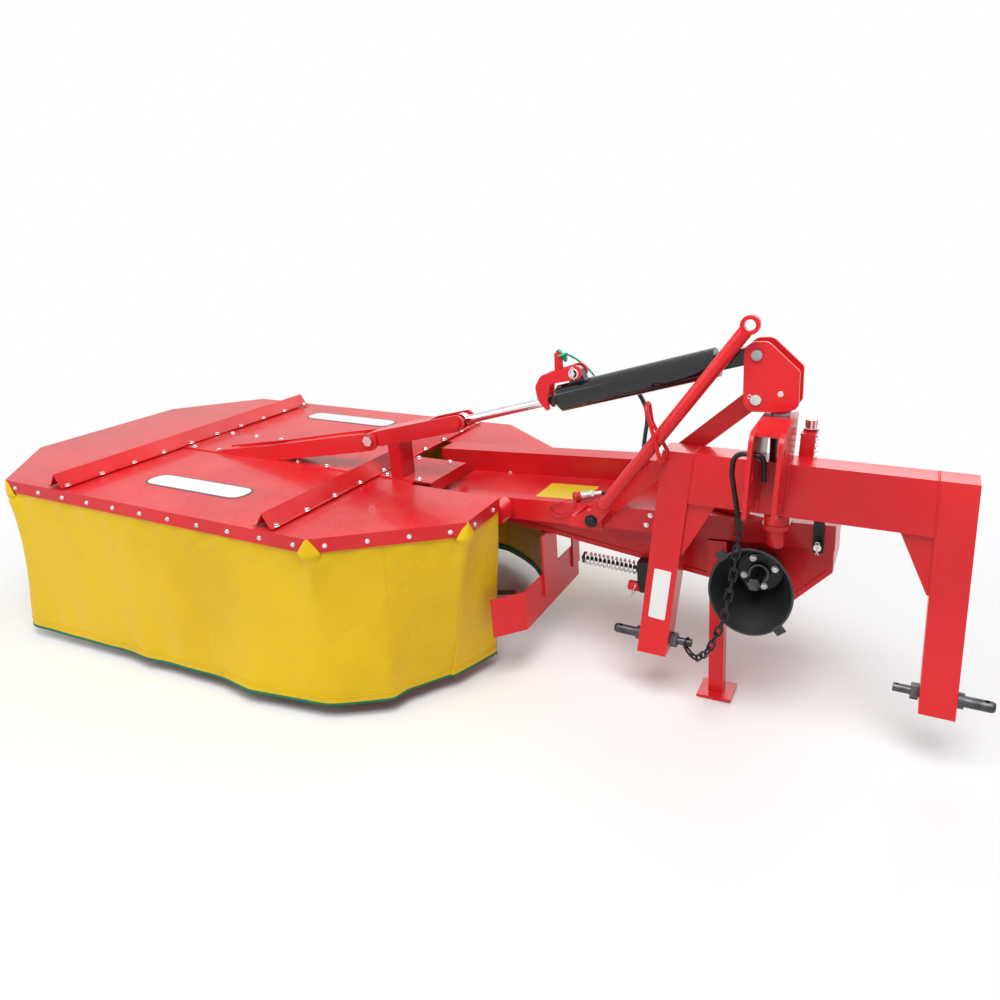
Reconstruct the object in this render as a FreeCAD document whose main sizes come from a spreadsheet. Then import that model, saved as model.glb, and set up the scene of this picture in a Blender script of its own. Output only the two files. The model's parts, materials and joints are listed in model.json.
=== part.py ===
"""Two-drum rotary mower for a tractor's three-point linkage, as it parks.

Millimetres, +Z up, +X to the hitch's right end, -Y towards the tractor.  The origin lies on the
floor under the middle of the machine.  Four frames carry the pieces:

  HITCH    floor under the middle of the crossbeam, Y = 0 on the crossbeam's front face
  CARRIER  floor under the swing pin, leaning by carrier_tilt about Y, as the parked carrier does
  MOWER    floor under the middle of the deck
  RAM      on the cylinder's base pin, X along the rod towards the lift arm
"""
import FreeCAD
import Part
import Sketcher  # noqa: F401  (registers the sketch object)
import math
import os

from FreeCAD import Placement, Rotation, Vector

doc = FreeCAD.newDocument("drum_mower")

# ---------------------------------------------------------------- driving dimensions

DIMENSIONS = {
    # where the frames stand
    "hitch_x": 1054, "hitch_y": -110,
    "carrier_x": -30, "carrier_y": 40, "carrier_tilt": 3.4,
    "mower_x": -1687.5, "mower_y": 110,
    # hitch frame
    "beam_half": 350, "beam_top": 741, "beam_height": 134, "beam_depth": 78, "tube_wall": 6,
    "leg_width": 80, "leg_foot": 147, "leg_splay": 42,
    "pin_level": 185, "pin_reach": 470, "pin_inner_reach": 250,
    "pin_radius": 14, "pin_small_radius": 11, "pin_collar_radius": 20, "pin_collar": 14,
    "gusset_side": 70, "gusset_drop": 149, "gusset_plate": 10,
    "bracket_x": -81, "bracket_gap": 54, "bracket_plate": 10, "bracket_front": -160,
    "bracket_foot": 645, "bracket_top": 850, "link_hole_y": -120, "link_hole_radius": 12.7,
    "link_hole_low": 683, "link_hole_pitch": 57,
    "stay_radius": 17, "stay_y": -20, "loop_rod": 5, "hook_rod": 6,
    "relief_x": -17, "relief_top": 797,
    # swing pin
    "swing_pin_radius": 18, "swing_bush_radius": 22, "swing_bush_bore": 18.4,
    "swing_bush_foot": 604, "swing_bush_top": 857,
    # carrier
    "lid_left": -1013, "lid_right": 134, "lid_front": 56, "lid_back": 290, "lid_top": 558,
    "lid_height": 66, "lid_sheet": 4, "housing_front": 102, "housing_back": 286,
    "housing_sheet": 4, "lip_width": 14, "lip_proud": 3,
    "rear_beam_left": -1133, "rear_beam_right": -100, "rear_beam_side": 80, "rear_beam_foot": 549,
    "swing_plate": 12, "swing_plate_foot": 562,
    "mast_plate": 10, "mast_gap": 60, "mast_pin_x": -51, "mast_top_pin": 1000, "mast_low_pin": 895,
    "mast_pin_radius": 12.5, "mast_round": 30, "head_foot": 872, "head_height": 85,
    "brace_width": 48, "brace_plate": 10, "brace_foot_level": 545,
    "pto_x": -50, "pto_level": 396, "bell_wall": 4, "bell_front": -50, "bell_root": 62,
    "bell_half_width": 104, "bell_half_height": 120,
    "stand_x": -155, "stand_y": 77, "sleeve_side": 50, "sleeve_bore": 42.4, "sleeve_foot": 380,
    "sleeve_height": 108, "stand_side": 40, "stand_top": 405, "stand_plate": 8, "stand_plate_side": 95,
    "guard_x": -676, "guard_foot": 195, "guard_height": 120, "guard_plate": 6,
    # lift hinge, and the ram that works it
    "hinge_x": -850, "hinge_level": 484, "hinge_radius": 14,
    "ram_eye_x": -952, "ram_eye_level": 751,
    "barrel_radius": 36, "barrel_start": 100, "barrel_end": 531, "rod_radius": 12.5,
    "hook_pivot": 463, "hook_pivot_rise": 57.7,
    "hose_radius": 6, "rope_radius": 3, "cap_radius": 15.4,
    # mower unit
    "deck_top": 555, "sheet": 3, "rim_height": 40,
    "beam_inner": 582.5, "beam_outer": -612.5, "gear_beam_half": 95, "gear_beam_foot": 455,
    "cover_half": 110, "cover_plate": 4, "cover_inner": 642.5, "cover_outer": -372.5,
    "ridge_height": 41, "ridge_half": 24, "ridge_flange": 12,
    "drum_offset": 405, "drum_radius": 150, "drum_top": 440, "disc_radius": 310, "disc_foot": 75,
    "drum_wall": 5, "hub_radius": 67, "disc_seam": 195, "cut_radius": 420, "saucer_radius": 275, "saucer_height": 50,
    "curtain": 3, "curtain_foot": 40, "curtain_head": 550,
    "arm_half": 38, "arm_plate": 7,
}

sheet = doc.addObject("Spreadsheet::Sheet", "dims")
for row, (alias, value) in enumerate(DIMENSIONS.items(), start=1):
    sheet.set("A%d" % row, alias)
    sheet.set("B%d" % row, str(value))
    sheet.setAlias("B%d" % row, alias)
doc.recompute()


def dim(alias):
    """The value of one spreadsheet cell."""
    return float(sheet.get(alias))


# ---------------------------------------------------------------- frames

HITCH = Placement(Vector(dim("hitch_x"), dim("hitch_y"), 0), Rotation())
CARRIER = HITCH.multiply(Placement(
    Vector(dim("carrier_x"), dim("carrier_y"), 0), Rotation(Vector(0, 1, 0), -dim("carrier_tilt"))))
MOWER = HITCH.multiply(Placement(Vector(dim("mower_x"), dim("mower_y"), 0), Rotation()))

RAM_BASE = HITCH.inverse().multVec(CARRIER.multVec(
    Vector(dim("mast_pin_x"), 0, dim("mast_top_pin"))))
RAM_EYE = Vector(dim("ram_eye_x"), dim("carrier_y"), dim("ram_eye_level"))
RAM_LENGTH = (RAM_EYE - RAM_BASE).Length
RAM_AXIS = (RAM_EYE - RAM_BASE).normalize()
# X of this frame runs down the rod, Z points up from it
RAM = HITCH.multiply(Placement(RAM_BASE, Rotation(
    RAM_AXIS, Vector(0, -1, 0), RAM_AXIS.cross(Vector(0, -1, 0)), "ZXY")))

# ---------------------------------------------------------------- building blocks

PLANES = {
    "XY": Rotation(),
    "XZ": Rotation(Vector(1, 0, 0), 90),
    "YZ": Rotation(Vector(0, 1, 0), Vector(0, 0, 1), Vector(1, 0, 0), "ZXY"),
}
NORMALS = {"XY": Vector(0, 0, 1), "XZ": Vector(0, 1, 0), "YZ": Vector(1, 0, 0)}
count = {}
nodes = {}


def fresh(stem):
    """A document name that is not taken yet."""
    count[stem] = count.get(stem, 0) + 1
    return "%s_%d" % (stem, count[stem])


def bind(item, **expressions):
    """Bind properties to spreadsheet cells; a plain number is set as it is."""
    for prop, value in expressions.items():
        if isinstance(value, str):
            item.setExpression(prop, value)
        else:
            setattr(item, prop, value)
    return item


def cell(text):
    """Turn the aliases in an expression into references to the spreadsheet."""
    words = []
    for word in text.split():
        words.append("dims." + word if word in DIMENSIONS else word)
    return " ".join(words)


def length(value):
    """An expression for a length given as a number or as words of the spreadsheet."""
    return cell(value) if isinstance(value, str) else value


def rounded(points):
    """Edges of a closed outline; a point (x, y, r) is rounded with radius r."""
    edges = []
    corners = []
    total = len(points)
    for i, point in enumerate(points):
        here = Vector(point[0], point[1], 0)
        radius = point[2] if len(point) > 2 else 0
        if not radius:
            corners.append((here, None, here))
            continue
        before = Vector(points[i - 1][0], points[i - 1][1], 0)
        after = Vector(points[(i + 1) % total][0], points[(i + 1) % total][1], 0)
        back = (before - here).normalize()
        on = (after - here).normalize()
        half = back.getAngle(on) / 2
        if half > math.radians(89.5):
            corners.append((here, None, here))
            continue
        cut = radius / math.tan(half)
        centre = here + (back + on).normalize() * (radius / math.sin(half))
        middle = centre + (here - centre).normalize() * radius
        corners.append((here + back * cut, middle, here + on * cut))
    for i, (start, middle, end) in enumerate(corners):
        if middle is not None:
            edges.append(Part.Arc(start, middle, end))
        following = corners[(i + 1) % total][0]
        if (following - end).Length > 1e-6:
            edges.append(Part.LineSegment(end, following))
    return edges


def run_ends(item, index, start):
    """Numbers of a sketch edge's two ends in the outline's order; a sketch keeps arcs counter-clockwise."""
    near = (item.getPoint(index, 1) - start).Length
    far = (item.getPoint(index, 2) - start).Length
    return (1, 2) if near < far else (2, 1)


def sketch(plane, outlines, at=0.0):
    """A sketch on a plane at a distance along its normal, holding closed outlines."""
    item = doc.addObject("Sketcher::SketchObject", fresh("sketch"))
    item.Placement = Placement(NORMALS[plane] * at, PLANES[plane])
    for outline in outlines:
        if len(outline) == 3 and outline[0] == "circle":
            centre = Vector(outline[1][0], outline[1][1], 0)
            item.addGeometry(Part.Circle(centre, Vector(0, 0, 1), outline[2]), False)
            continue
        first = item.GeometryCount
        edges = rounded(outline)
        item.addGeometry(edges, False)
        ends = [run_ends(item, first + i, edge.StartPoint) for i, edge in enumerate(edges)]
        for i in range(len(edges)):
            following = (i + 1) % len(edges)
            item.addConstraint(Sketcher.Constraint(
                "Coincident", first + i, ends[i][1], first + following, ends[following][0]))
    return item


def plate(plane, outlines, thickness, at=0.0):
    """An outline, with any holes, extruded along the plane's normal."""
    if not isinstance(outlines[0], (list, str)) or outlines[0] == "circle":
        outlines = [outlines]
    item = doc.addObject("Part::Extrusion", fresh("plate"))
    item.Base = sketch(plane, outlines, at)
    item.DirMode = "Custom"
    item.Dir = NORMALS[plane]
    item.Solid = True
    return bind(item, LengthFwd=length(thickness))


def box(corner, size):
    """A box from its low corner; each size is a number or words of the spreadsheet."""
    item = doc.addObject("Part::Box", fresh("box"))
    item.Placement = Placement(Vector(*corner), Rotation())
    return bind(item, Length=length(size[0]), Width=length(size[1]), Height=length(size[2]))


def cylinder(start, direction, radius, height):
    """A cylinder from the centre of its first face along a direction."""
    item = doc.addObject("Part::Cylinder", fresh("cylinder"))
    item.Placement = Placement(Vector(*start), Rotation(Vector(0, 0, 1), Vector(*direction)))
    return bind(item, Radius=length(radius), Height=length(height))


def fuse(*items):
    """One solid from several that touch."""
    item = doc.addObject("Part::MultiFuse", fresh("fuse"))
    item.Shapes = list(items)
    item.Refine = True
    return item


def cut(base, *tools):
    """The base without the tools."""
    for tool in tools:
        item = doc.addObject("Part::Cut", fresh("cut"))
        item.Base = base
        item.Tool = tool
        item.Refine = True
        base = item
    return base


def group(*items):
    """Several loose solids that make one piece of the list, such as a row of knives."""
    item = doc.addObject("Part::Compound", fresh("group"))
    item.Links = list(items)
    return item


def shape(solid):
    """A solid made with Part's own functions, where no primitive or sketch fits."""
    item = doc.addObject("Part::Feature", fresh("shape"))
    item.Shape = solid
    return item


def revolve(outline):
    """An outline of (radius, height) points turned about Z."""
    item = doc.addObject("Part::Revolution", fresh("revolution"))
    item.Source = sketch("XZ", [outline])
    item.Axis = Vector(0, 0, 1)
    item.Angle = 360
    item.Solid = True
    return item


def moved(item, base, rotation=None):
    """The same item, moved within its frame."""
    item.Placement = Placement(Vector(*base), rotation or Rotation()).multiply(item.Placement)
    return item


def node(label, item, frame):
    """Name a sub-part and put it in its frame."""
    item.Label = label
    item.Placement = frame.multiply(item.Placement)
    nodes[label] = item
    return item


def path(points, radius):
    """A wire of straight runs joined by tangent arcs; radius may be one number or one per corner."""
    spots = [Vector(*p) for p in points]
    edges = []
    start = spots[0]
    for i in range(1, len(spots) - 1):
        back = (spots[i - 1] - spots[i]).normalize()
        on = (spots[i + 1] - spots[i]).normalize()
        half = back.getAngle(on) / 2
        bend = radius[i - 1] if isinstance(radius, (list, tuple)) else radius
        reach = bend / math.tan(half)
        centre = spots[i] + (back + on).normalize() * (bend / math.sin(half))
        middle = centre + (spots[i] - centre).normalize() * bend
        first, last = spots[i] + back * reach, spots[i] + on * reach
        if (first - start).Length > 1e-6:
            edges.append(Part.LineSegment(start, first).toShape())
        edges.append(Part.Arc(first, middle, last).toShape())
        start = last
    edges.append(Part.LineSegment(start, spots[-1]).toShape())
    return Part.Wire(edges)


def rod(points, bend, thickness):
    """A round bar bent along a path."""
    wire = path(points, bend)
    along = Vector(*points[1]) - Vector(*points[0])
    face = Part.Wire(Part.Circle(Vector(*points[0]), along, thickness).toShape())
    return wire.makePipeShell([face], True, False)


def offset_line(points, distance):
    """An open line of points moved sideways to its left, with mitred corners."""
    result = []
    for i, (x, y) in enumerate(points):
        normals = []
        if i > 0:
            dx, dy = x - points[i - 1][0], y - points[i - 1][1]
            normals.append(Vector(-dy, dx, 0).normalize())
        if i < len(points) - 1:
            dx, dy = points[i + 1][0] - x, points[i + 1][1] - y
            normals.append(Vector(-dy, dx, 0).normalize())
        if len(normals) == 1:
            shift = normals[0] * distance
        else:
            middle = (normals[0] + normals[1]).normalize()
            shift = middle * (distance / middle.dot(normals[0]))
        result.append((x + shift.x, y + shift.y))
    return result


def inset(points, distance):
    """A closed outline of points moved inwards, with mitred corners."""
    total = len(points)
    area = sum(points[i - 1][0] * points[i][1] - points[i][0] * points[i - 1][1] for i in range(total))
    side = 1 if area > 0 else -1
    result = []
    for i, point in enumerate(points):
        before, after = points[i - 1], points[(i + 1) % total]
        one = Vector(-(point[1] - before[1]), point[0] - before[0], 0).normalize()
        two = Vector(-(after[1] - point[1]), after[0] - point[0], 0).normalize()
        middle = (one + two).normalize()
        shift = middle * (side * distance / middle.dot(one))
        result.append((point[0] + shift.x, point[1] + shift.y))
    return result


def ring_link(points, radius, sides=8):
    """A closed bar of prisms through points that lie in one plane, mitred at each point."""
    spots = [Vector(*p) for p in points]
    total = len(spots)
    across = (spots[1] - spots[0]).cross(spots[2] - spots[1]).normalize()
    rings = []
    for i, spot in enumerate(spots):
        on = (spots[(i + 1) % total] - spot).normalize()
        back = (spot - spots[i - 1]).normalize()
        tangent = (on + back).normalize()
        outward = tangent.cross(across).normalize()
        stretch = 1 / max(0.3, tangent.dot(on))
        turn = [2 * math.pi * (k + 0.5) / sides for k in range(sides)]
        rings.append([spot + outward * (radius * stretch * math.cos(a)) + across * (radius * math.sin(a))
                      for a in turn])
    faces = []
    for i in range(total):
        one, two = rings[i], rings[(i + 1) % total]
        for k in range(sides):
            m = (k + 1) % sides
            faces.append(Part.Face(Part.makePolygon([one[k], one[m], two[m], two[k], one[k]])))
    solid = Part.Solid(Part.Shell(faces))
    if solid.Volume < 0:
        solid.reverse()
    return solid


def coil(start, direction, radius, wire, pitch, height):
    """A coil spring."""
    helix = Part.makeHelix(pitch, height, radius)
    profile = Part.Wire(Part.Circle(Vector(radius, 0, 0), Vector(0, 1, 0), wire).toShape())
    spring = helix.makePipeShell([profile], True, True) if helix.ShapeType == "Wire" else \
        Part.Wire(helix).makePipeShell([profile], True, True)
    spring.Placement = Placement(Vector(*start), Rotation(Vector(0, 0, 1), Vector(*direction)))
    return spring


# ---------------------------------------------------------------- hitch frame


def hexagon(x, y, radius):
    """Corner points of a nut's outline."""
    return [(x + radius * math.cos(math.radians(60 * k)), y + radius * math.sin(math.radians(60 * k)))
            for k in range(6)]


def leg_outline(side, inset_by=0.0, open_foot=0.0):
    """The splayed leg in the XZ plane; side is +1 right or -1 left."""
    top, foot = dim("beam_top") - inset_by, dim("leg_foot") - open_foot
    lean = dim("leg_splay") / (dim("beam_top") - dim("leg_foot"))
    width = dim("leg_width")

    def edge(z):
        return dim("beam_half") + (dim("beam_top") - z) * lean

    return [(side * (edge(z) - away), z) for z, away in (
        (top, inset_by), (foot, inset_by), (foot, width - inset_by), (top, width - inset_by))]


def build_hitch():
    """Crossbeam with the swing bush, and what hangs on either end of it."""
    depth, wall = dim("beam_depth"), dim("tube_wall")
    inner = dim("beam_half") - dim("leg_width")
    top = dim("beam_top")
    foot = top - dim("beam_height")
    lean = dim("leg_splay") / (top - dim("leg_foot"))
    low = inner + lean * dim("beam_height")

    beam = plate("XZ", [(-inner, top), (inner, top), (low, foot), (-low, foot)], "beam_depth")
    hollow = box((-low - 1, wall, foot + wall), (2 * low + 2, depth - 2 * wall, dim("beam_height") - 2 * wall))
    node("crossbeam", cut(beam, hollow, bush_core("swing_bush_radius")), HITCH)

    bush_foot = dim("swing_bush_foot")
    bush = cut(cylinder((0, 0, bush_foot), (0, 0, 1), "swing_bush_radius", "swing_bush_top - swing_bush_foot"),
               cylinder((0, 0, bush_foot - 5), (0, 0, 1), "swing_bush_bore", 300))
    node("swing_bush", bush, CARRIER)

    gussets = []
    for name, side in (("right", 1), ("left", -1)):
        leg = plate("XZ", leg_outline(side), "beam_depth")
        cavity = plate("XZ", leg_outline(side, wall, 10), depth - 2 * wall, wall)
        bore = cylinder((side * 250, depth / 2, dim("pin_level")), (side, 0, 0), "pin_radius + 0.2", 250)
        node("leg_" + name, cut(leg, cavity, bore), HITCH)
        build_lower_pin(name, side)
        end = inner + lean * (dim("beam_height") + dim("gusset_drop"))
        triangle = [(side * low, foot), (side * (low - dim("gusset_side")), foot),
                    (side * (end - 5), foot - dim("gusset_drop")), (side * end, foot - dim("gusset_drop"))]
        gussets += [plate("XZ", triangle, "gusset_plate", y) for y in (10, 32)]

    node("gussets", group(*gussets), HITCH)
    build_bracket()


def bush_core(radius):
    """A bar along the swing axis, given in the hitch frame."""
    axis = CARRIER.Rotation.multVec(Vector(0, 0, 1))
    return cylinder((dim("carrier_x"), dim("carrier_y"), 0), axis, radius, 1100)


def build_lower_pin(name, side):
    """Lower link pin through the leg: collar outside, nut and short stub inside."""
    at = (dim("beam_depth") / 2, dim("pin_level"))
    lean = dim("leg_splay") / (dim("beam_top") - dim("leg_foot"))
    face = dim("beam_half") + lean * (dim("beam_top") - dim("pin_level")) + 1.6
    back = face - dim("leg_width") - 3.4
    reach, stub_end = dim("pin_reach"), dim("pin_inner_reach")
    shank = cylinder((side * (back - 18), *at), (side, 0, 0), "pin_radius", reach - back + 18 - 6)
    nose = doc.addObject("Part::Cone", fresh("cone"))
    nose.Placement = Placement(Vector(side * (reach - 6), *at), Rotation(Vector(0, 0, 1), Vector(side, 0, 0)))
    bind(nose, Radius1=cell("pin_radius"), Radius2=cell("pin_radius") + " - 3", Height=6)
    collar = cylinder((side * face, *at), (side, 0, 0), "pin_collar_radius", "pin_collar")
    stub = cylinder((side * stub_end, *at), (side, 0, 0), "pin_small_radius", back - stub_end)
    nut = plate("YZ", hexagon(*at, 21), 18, min(side * (back - 18), side * back))
    linch = cylinder((side * (reach - 18), at[0], at[1] - 30), (0, 0, 1), 6, 60)
    clip = cylinder((side * (stub_end + 9), at[0], at[1] - 30), (0, 0, 1), 4, 60)
    node("lower_pin_" + name, cut(fuse(shank, nose, collar, stub, nut), linch, clip), HITCH)


def build_bracket():
    """Top-link bracket: two drilled plates reaching forward of the crossbeam, and a cap over it."""
    gap, thick = dim("bracket_gap"), dim("bracket_plate")
    middle, top, foot = dim("bracket_x"), dim("bracket_top"), dim("bracket_foot")
    front, beam_top, depth = dim("bracket_front"), dim("beam_top"), dim("beam_depth")
    side = [(0, foot), (front, foot), (front, top, 30), (depth, top), (depth, beam_top), (0, beam_top)]
    holes = [("circle", (dim("link_hole_y"), dim("link_hole_low") + k * dim("link_hole_pitch")),
              dim("link_hole_radius")) for k in range(3)]
    plates = [plate("YZ", [side] + holes, "bracket_plate", middle + x)
              for x in (-gap / 2 - thick, gap / 2)]
    cap = box((middle - gap / 2, front + 18, top - thick), (gap, 212, thick))
    node("top_link_bracket", cut(fuse(*plates, cap), bush_core("swing_bush_radius")), HITCH)


# ---------------------------------------------------------------- stay, loop and hook chain

STAY_FOOT = Vector(-529, dim("stay_y"), 527)
STAY_EYE = Vector(-158, dim("stay_y"), 1066)


def build_stay():
    """Transport stay lying in its wire loop, eye up, its plate end in front of the carrier's lug."""
    run = STAY_EYE - STAY_FOOT
    radius = dim("stay_radius")
    slope = math.degrees(math.atan2(run.z, run.x))
    tube = cylinder((56, 0, 0), (1, 0, 0), "stay_radius", run.Length - 56 - 18)
    bore = cylinder((70, 0, 0), (1, 0, 0), radius - 3, run.Length - 70 - 26)
    ring = cylinder((run.Length, 8, 0), (0, -1, 0), 22.5, 16)
    eye = cylinder((run.Length, 10, 0), (0, -1, 0), 13, 20)
    foot = plate("XZ", [(-20, -20, 10), (70, -20), (70, 20), (-20, 20, 10)], 10, -2)
    bolt = fuse(plate("XZ", hexagon(0, 0, 13), 8, -10), cylinder((0, -4, 0), (0, 1, 0), 8, 24))
    stay = fuse(cut(fuse(cut(tube, bore), ring), eye), foot, bolt)
    node("stay", moved(stay, STAY_FOOT, Rotation(Vector(0, 1, 0), -slope)), HITCH)

    y = dim("stay_y")
    front, rear = y - radius - 6.5, y + radius + 7.5
    route = [(-340, 2, 716), (-340, front, 716), (-388, front, 864), (-388, rear - 12.5, 864), (-382, rear, 812),
             (-338, rear, 739)]
    node("stay_loop", shape(rod(route, [13, 22, 13, 30], dim("loop_rod")).cut(
        Part.makeBox(200, 78, 300, Vector(-392, 0, 441)))), HITCH)


def link_points(centre, along, side, half, radius):
    """A stadium in the plane of two directions, its ends made of short straight runs."""
    steps = 4
    points = []
    for sign in (1, -1):
        for k in range(steps + 1):
            angle = math.pi * k / steps
            points.append(centre + along * (sign * (half + radius * math.sin(angle)))
                          + side * (sign * radius * math.cos(angle)))
    return points


def along_route(route, runs, distance):
    """The point at a distance along a line of points."""
    for start, end, run in zip(route, route[1:], runs):
        if distance <= run:
            return start + (end - start) * (distance / run)
        distance -= run
    return route[-1]


def build_chain():
    """Hook hanging in the bracket's top hole and the chain down to the left lower pin."""
    y = dim("link_hole_y")
    rest = dim("link_hole_low") + 2 * dim("link_hole_pitch") - dim("link_hole_radius") + dim("hook_rod") + 0.2
    hook = rod([(-131, y, 634), (-154, y, 740), (-153, y, rest), (-87, y, rest), (-82, y, 730)],
               [60, 24, 17], dim("hook_rod"))
    ferrule = Part.makeCylinder(8.5, 34, Vector(-126, y, 606), Vector(-0.176, 0, 0.984))
    ring = Part.makeTorus(9, 2.5, Vector(-126, y, 595), Vector(0, 1, 0))
    node("hook_rod", shape(hook.fuse([ferrule, ring])), HITCH)

    route = [Vector(*p) for p in ((-126, y, 590.4), (-132, -112, 480), (-150, -88, 340), (-186, -52, 226),
                                  (-222, -8, 168), (-250, 26, 158), (-267, 44, 165))]
    pitch, wire, half_width = 31.0, 3.2, 7.6
    runs = [(b - a).Length for a, b in zip(route, route[1:])]
    links = []
    for i in range(int(sum(runs) / pitch)):
        here, ahead = along_route(route, runs, pitch * i), along_route(route, runs, pitch * (i + 1))
        middle, along = (here + ahead) / 2, (ahead - here).normalize()
        side = along.cross(Vector(0, 1, 0) if i % 2 else Vector(1, 0.2, 0)).normalize()
        straight = (pitch + 2 * wire) / 2 - half_width - 0.3
        points = link_points(middle, along, side, straight, half_width)
        links.append(ring_link([tuple(p) for p in points], wire))
    node("hook_chain", shape(Part.makeCompound(links)), HITCH)


def build_relief():
    """Relief spring behind the crossbeam, in its bracket under a zinc adjuster."""
    x, y, top = dim("relief_x"), dim("beam_depth"), dim("relief_top")
    front = box((x - 17, y, 600), (34, 8, top - 600))
    lip = box((x - 17, y, top - 8), (34, 72, 8))
    foot = box((x - 17, y, 628), (34, 72, 8))
    bolt = fuse(cylinder((x, y + 44, 618), (0, 0, 1), 6, 190), cylinder((x, y + 44, top), (0, 0, 1), 15, 6),
                plate("XY", hexagon(x, y + 44, 14), 20, top + 6))
    node("relief_bracket", fuse(front, lip, foot, bolt), HITCH)
    node("relief_spring", shape(coil((x, y + 44, 641), (0, 0, 1), 20, 3, 15, 143)), HITCH)


# ---------------------------------------------------------------- carrier


def hinge_in_carrier():
    """The lift hinge's axis, as a point of the carrier's frame."""
    here = HITCH.multVec(Vector(dim("hinge_x"), dim("carrier_y"), dim("hinge_level")))
    return CARRIER.inverse().multVec(here)


def hinge_bore():
    """Clears the lift hinge's shaft."""
    hinge = hinge_in_carrier()
    return cylinder((hinge.x, -100, hinge.z), (0, 1, 0), "hinge_radius + 0.8", 500)


def build_belt_drive():
    """Belt housing and the lid folded over it."""
    left, right, top = dim("lid_left"), dim("lid_right"), dim("lid_top")
    front, back, skin = dim("lid_front"), dim("lid_back"), dim("lid_sheet")
    outer = box((left, front, top - dim("lid_height")), (right - left, back - front, "lid_height"))
    inner = box((left + skin, front + skin, top - dim("lid_height") - 1),
                (right - left - 2 * skin, back - front - 2 * skin, dim("lid_height") + 1 - skin))
    node("belt_lid", cut(outer, inner, hinge_bore()), CARRIER)

    y, deep = dim("housing_front"), dim("housing_back") - dim("housing_front")
    roof = top - skin
    outline = [(left + 5, roof), (right - 4.5, roof), (131 - 1.5, 413), (37, 318), (-830, 470), (left + 5, 470)]
    skin = dim("housing_sheet")
    body = plate("XZ", outline, deep, y)
    void = plate("XZ", inset(outline, skin), deep - 2 * skin, y + skin)
    lip = plate("XZ", [outline, inset(outline, dim("lip_width"))], "lip_proud", y - dim("lip_proud"))
    above = box((left - 10, y - 20, top - dim("lid_height") - 2), (right - left + 20, 20, 200))
    bell_seat = cylinder((dim("pto_x"), y, dim("pto_level")), (0, -1, 0), "bell_root + 3", 10)
    node("belt_housing", fuse(cut(body, void, hinge_bore()), cut(lip, above, bell_seat)), CARRIER)


def build_carrier():
    """Rear beam, swing plate and pin, mast, brace, guard plate and latch."""
    side, foot, wall = dim("rear_beam_side"), dim("rear_beam_foot"), dim("tube_wall")
    left, right, back = dim("rear_beam_left"), dim("rear_beam_right"), dim("lid_back")
    tube = box((left, back, foot), (right - left, "rear_beam_side", "rear_beam_side"))
    core = box((left - 1, back + wall, foot + wall), (right - left - wall, side - 2 * wall, side - 2 * wall))
    node("rear_beam", cut(tube, core), CARRIER)

    level = dim("swing_plate_foot")
    outline = [(32, -32, 30), (34, 40, 8), (-100, back), (-300, back), (-220, 120, 30), (-34, 30, 10), (-32, -32, 30)]
    sheet_plate = plate("XY", [outline], "swing_plate", level)
    boss = cylinder((0, 0, level), (0, 0, 1), 30, 600 - level)
    seat = box((-230, 110, dim("lid_top")), (150, 150, level - dim("lid_top")))
    tube_below = cylinder((0, 0, 515), (0, 0, 1), 20.5, level - 515)
    core = cylinder((0, 0, 500), (0, 0, 1), dim("swing_pin_radius") + 0.1, 200)
    node("swing_plate", cut(fuse(sheet_plate, boss, seat, tube_below), core), CARRIER)

    pin_top = dim("head_foot") + dim("head_height")
    node("swing_pin", cylinder((0, 0, 512), (0, 0, 1), "swing_pin_radius", pin_top - 512), CARRIER)
    build_mast()
    build_brace()
    build_guard_plate()
    build_latch()


def build_mast():
    """Mast head on the swing pin, with two ears for the ram and the brace."""
    left, right, gap, thick = -28, 36, dim("mast_gap"), dim("mast_plate")
    foot, height = dim("head_foot"), dim("head_height")
    pin = dim("swing_pin_radius")
    block = box((left, -gap / 2, foot), (right - left, "mast_gap", "head_height"))
    collar = cylinder((0, 0, foot - 12.5), (0, 0, 1), 25, 12.5)
    node("mast_head", cut(fuse(block, collar), cylinder((0, 0, foot - 20), (0, 0, 1), pin + 0.1, 200)),
         CARRIER)

    x, high, low, r = dim("mast_pin_x"), dim("mast_top_pin"), dim("mast_low_pin"), dim("mast_round")
    ear = [(x - r, low - r, r - 2), (x + 40, low - r, 12), (36, foot, 8), (44, foot + 10, 6), (44, 961, 12),
           (x + 24, high + r, 26), (x - r, high + r, r - 2)]
    holes = [("circle", (x, z), dim("mast_pin_radius")) for z in (high, low)]
    for name, at in (("front", -gap / 2 - thick), ("rear", gap / 2)):
        node("mast_ear_" + name, plate("XZ", [ear] + holes, "mast_plate", at), CARRIER)

    reach = gap / 2 + thick
    node("ram_base_pin", cylinder((x, -reach - 7, high), (0, 1, 0), "mast_pin_radius - 0.1",
                                  2 * reach + 14), CARRIER)
    shank = cylinder((x, -reach - 7, low), (0, 1, 0), "mast_pin_radius - 0.1", 2 * reach + 7 + 16 + 10)
    ring = cylinder((x, reach, low), (0, 1, 0), 20, 6)
    nut = plate("XZ", hexagon(x, low, 18), 10, reach + 16)
    node("brace_pin", fuse(shank, ring, nut), CARRIER)


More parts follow.
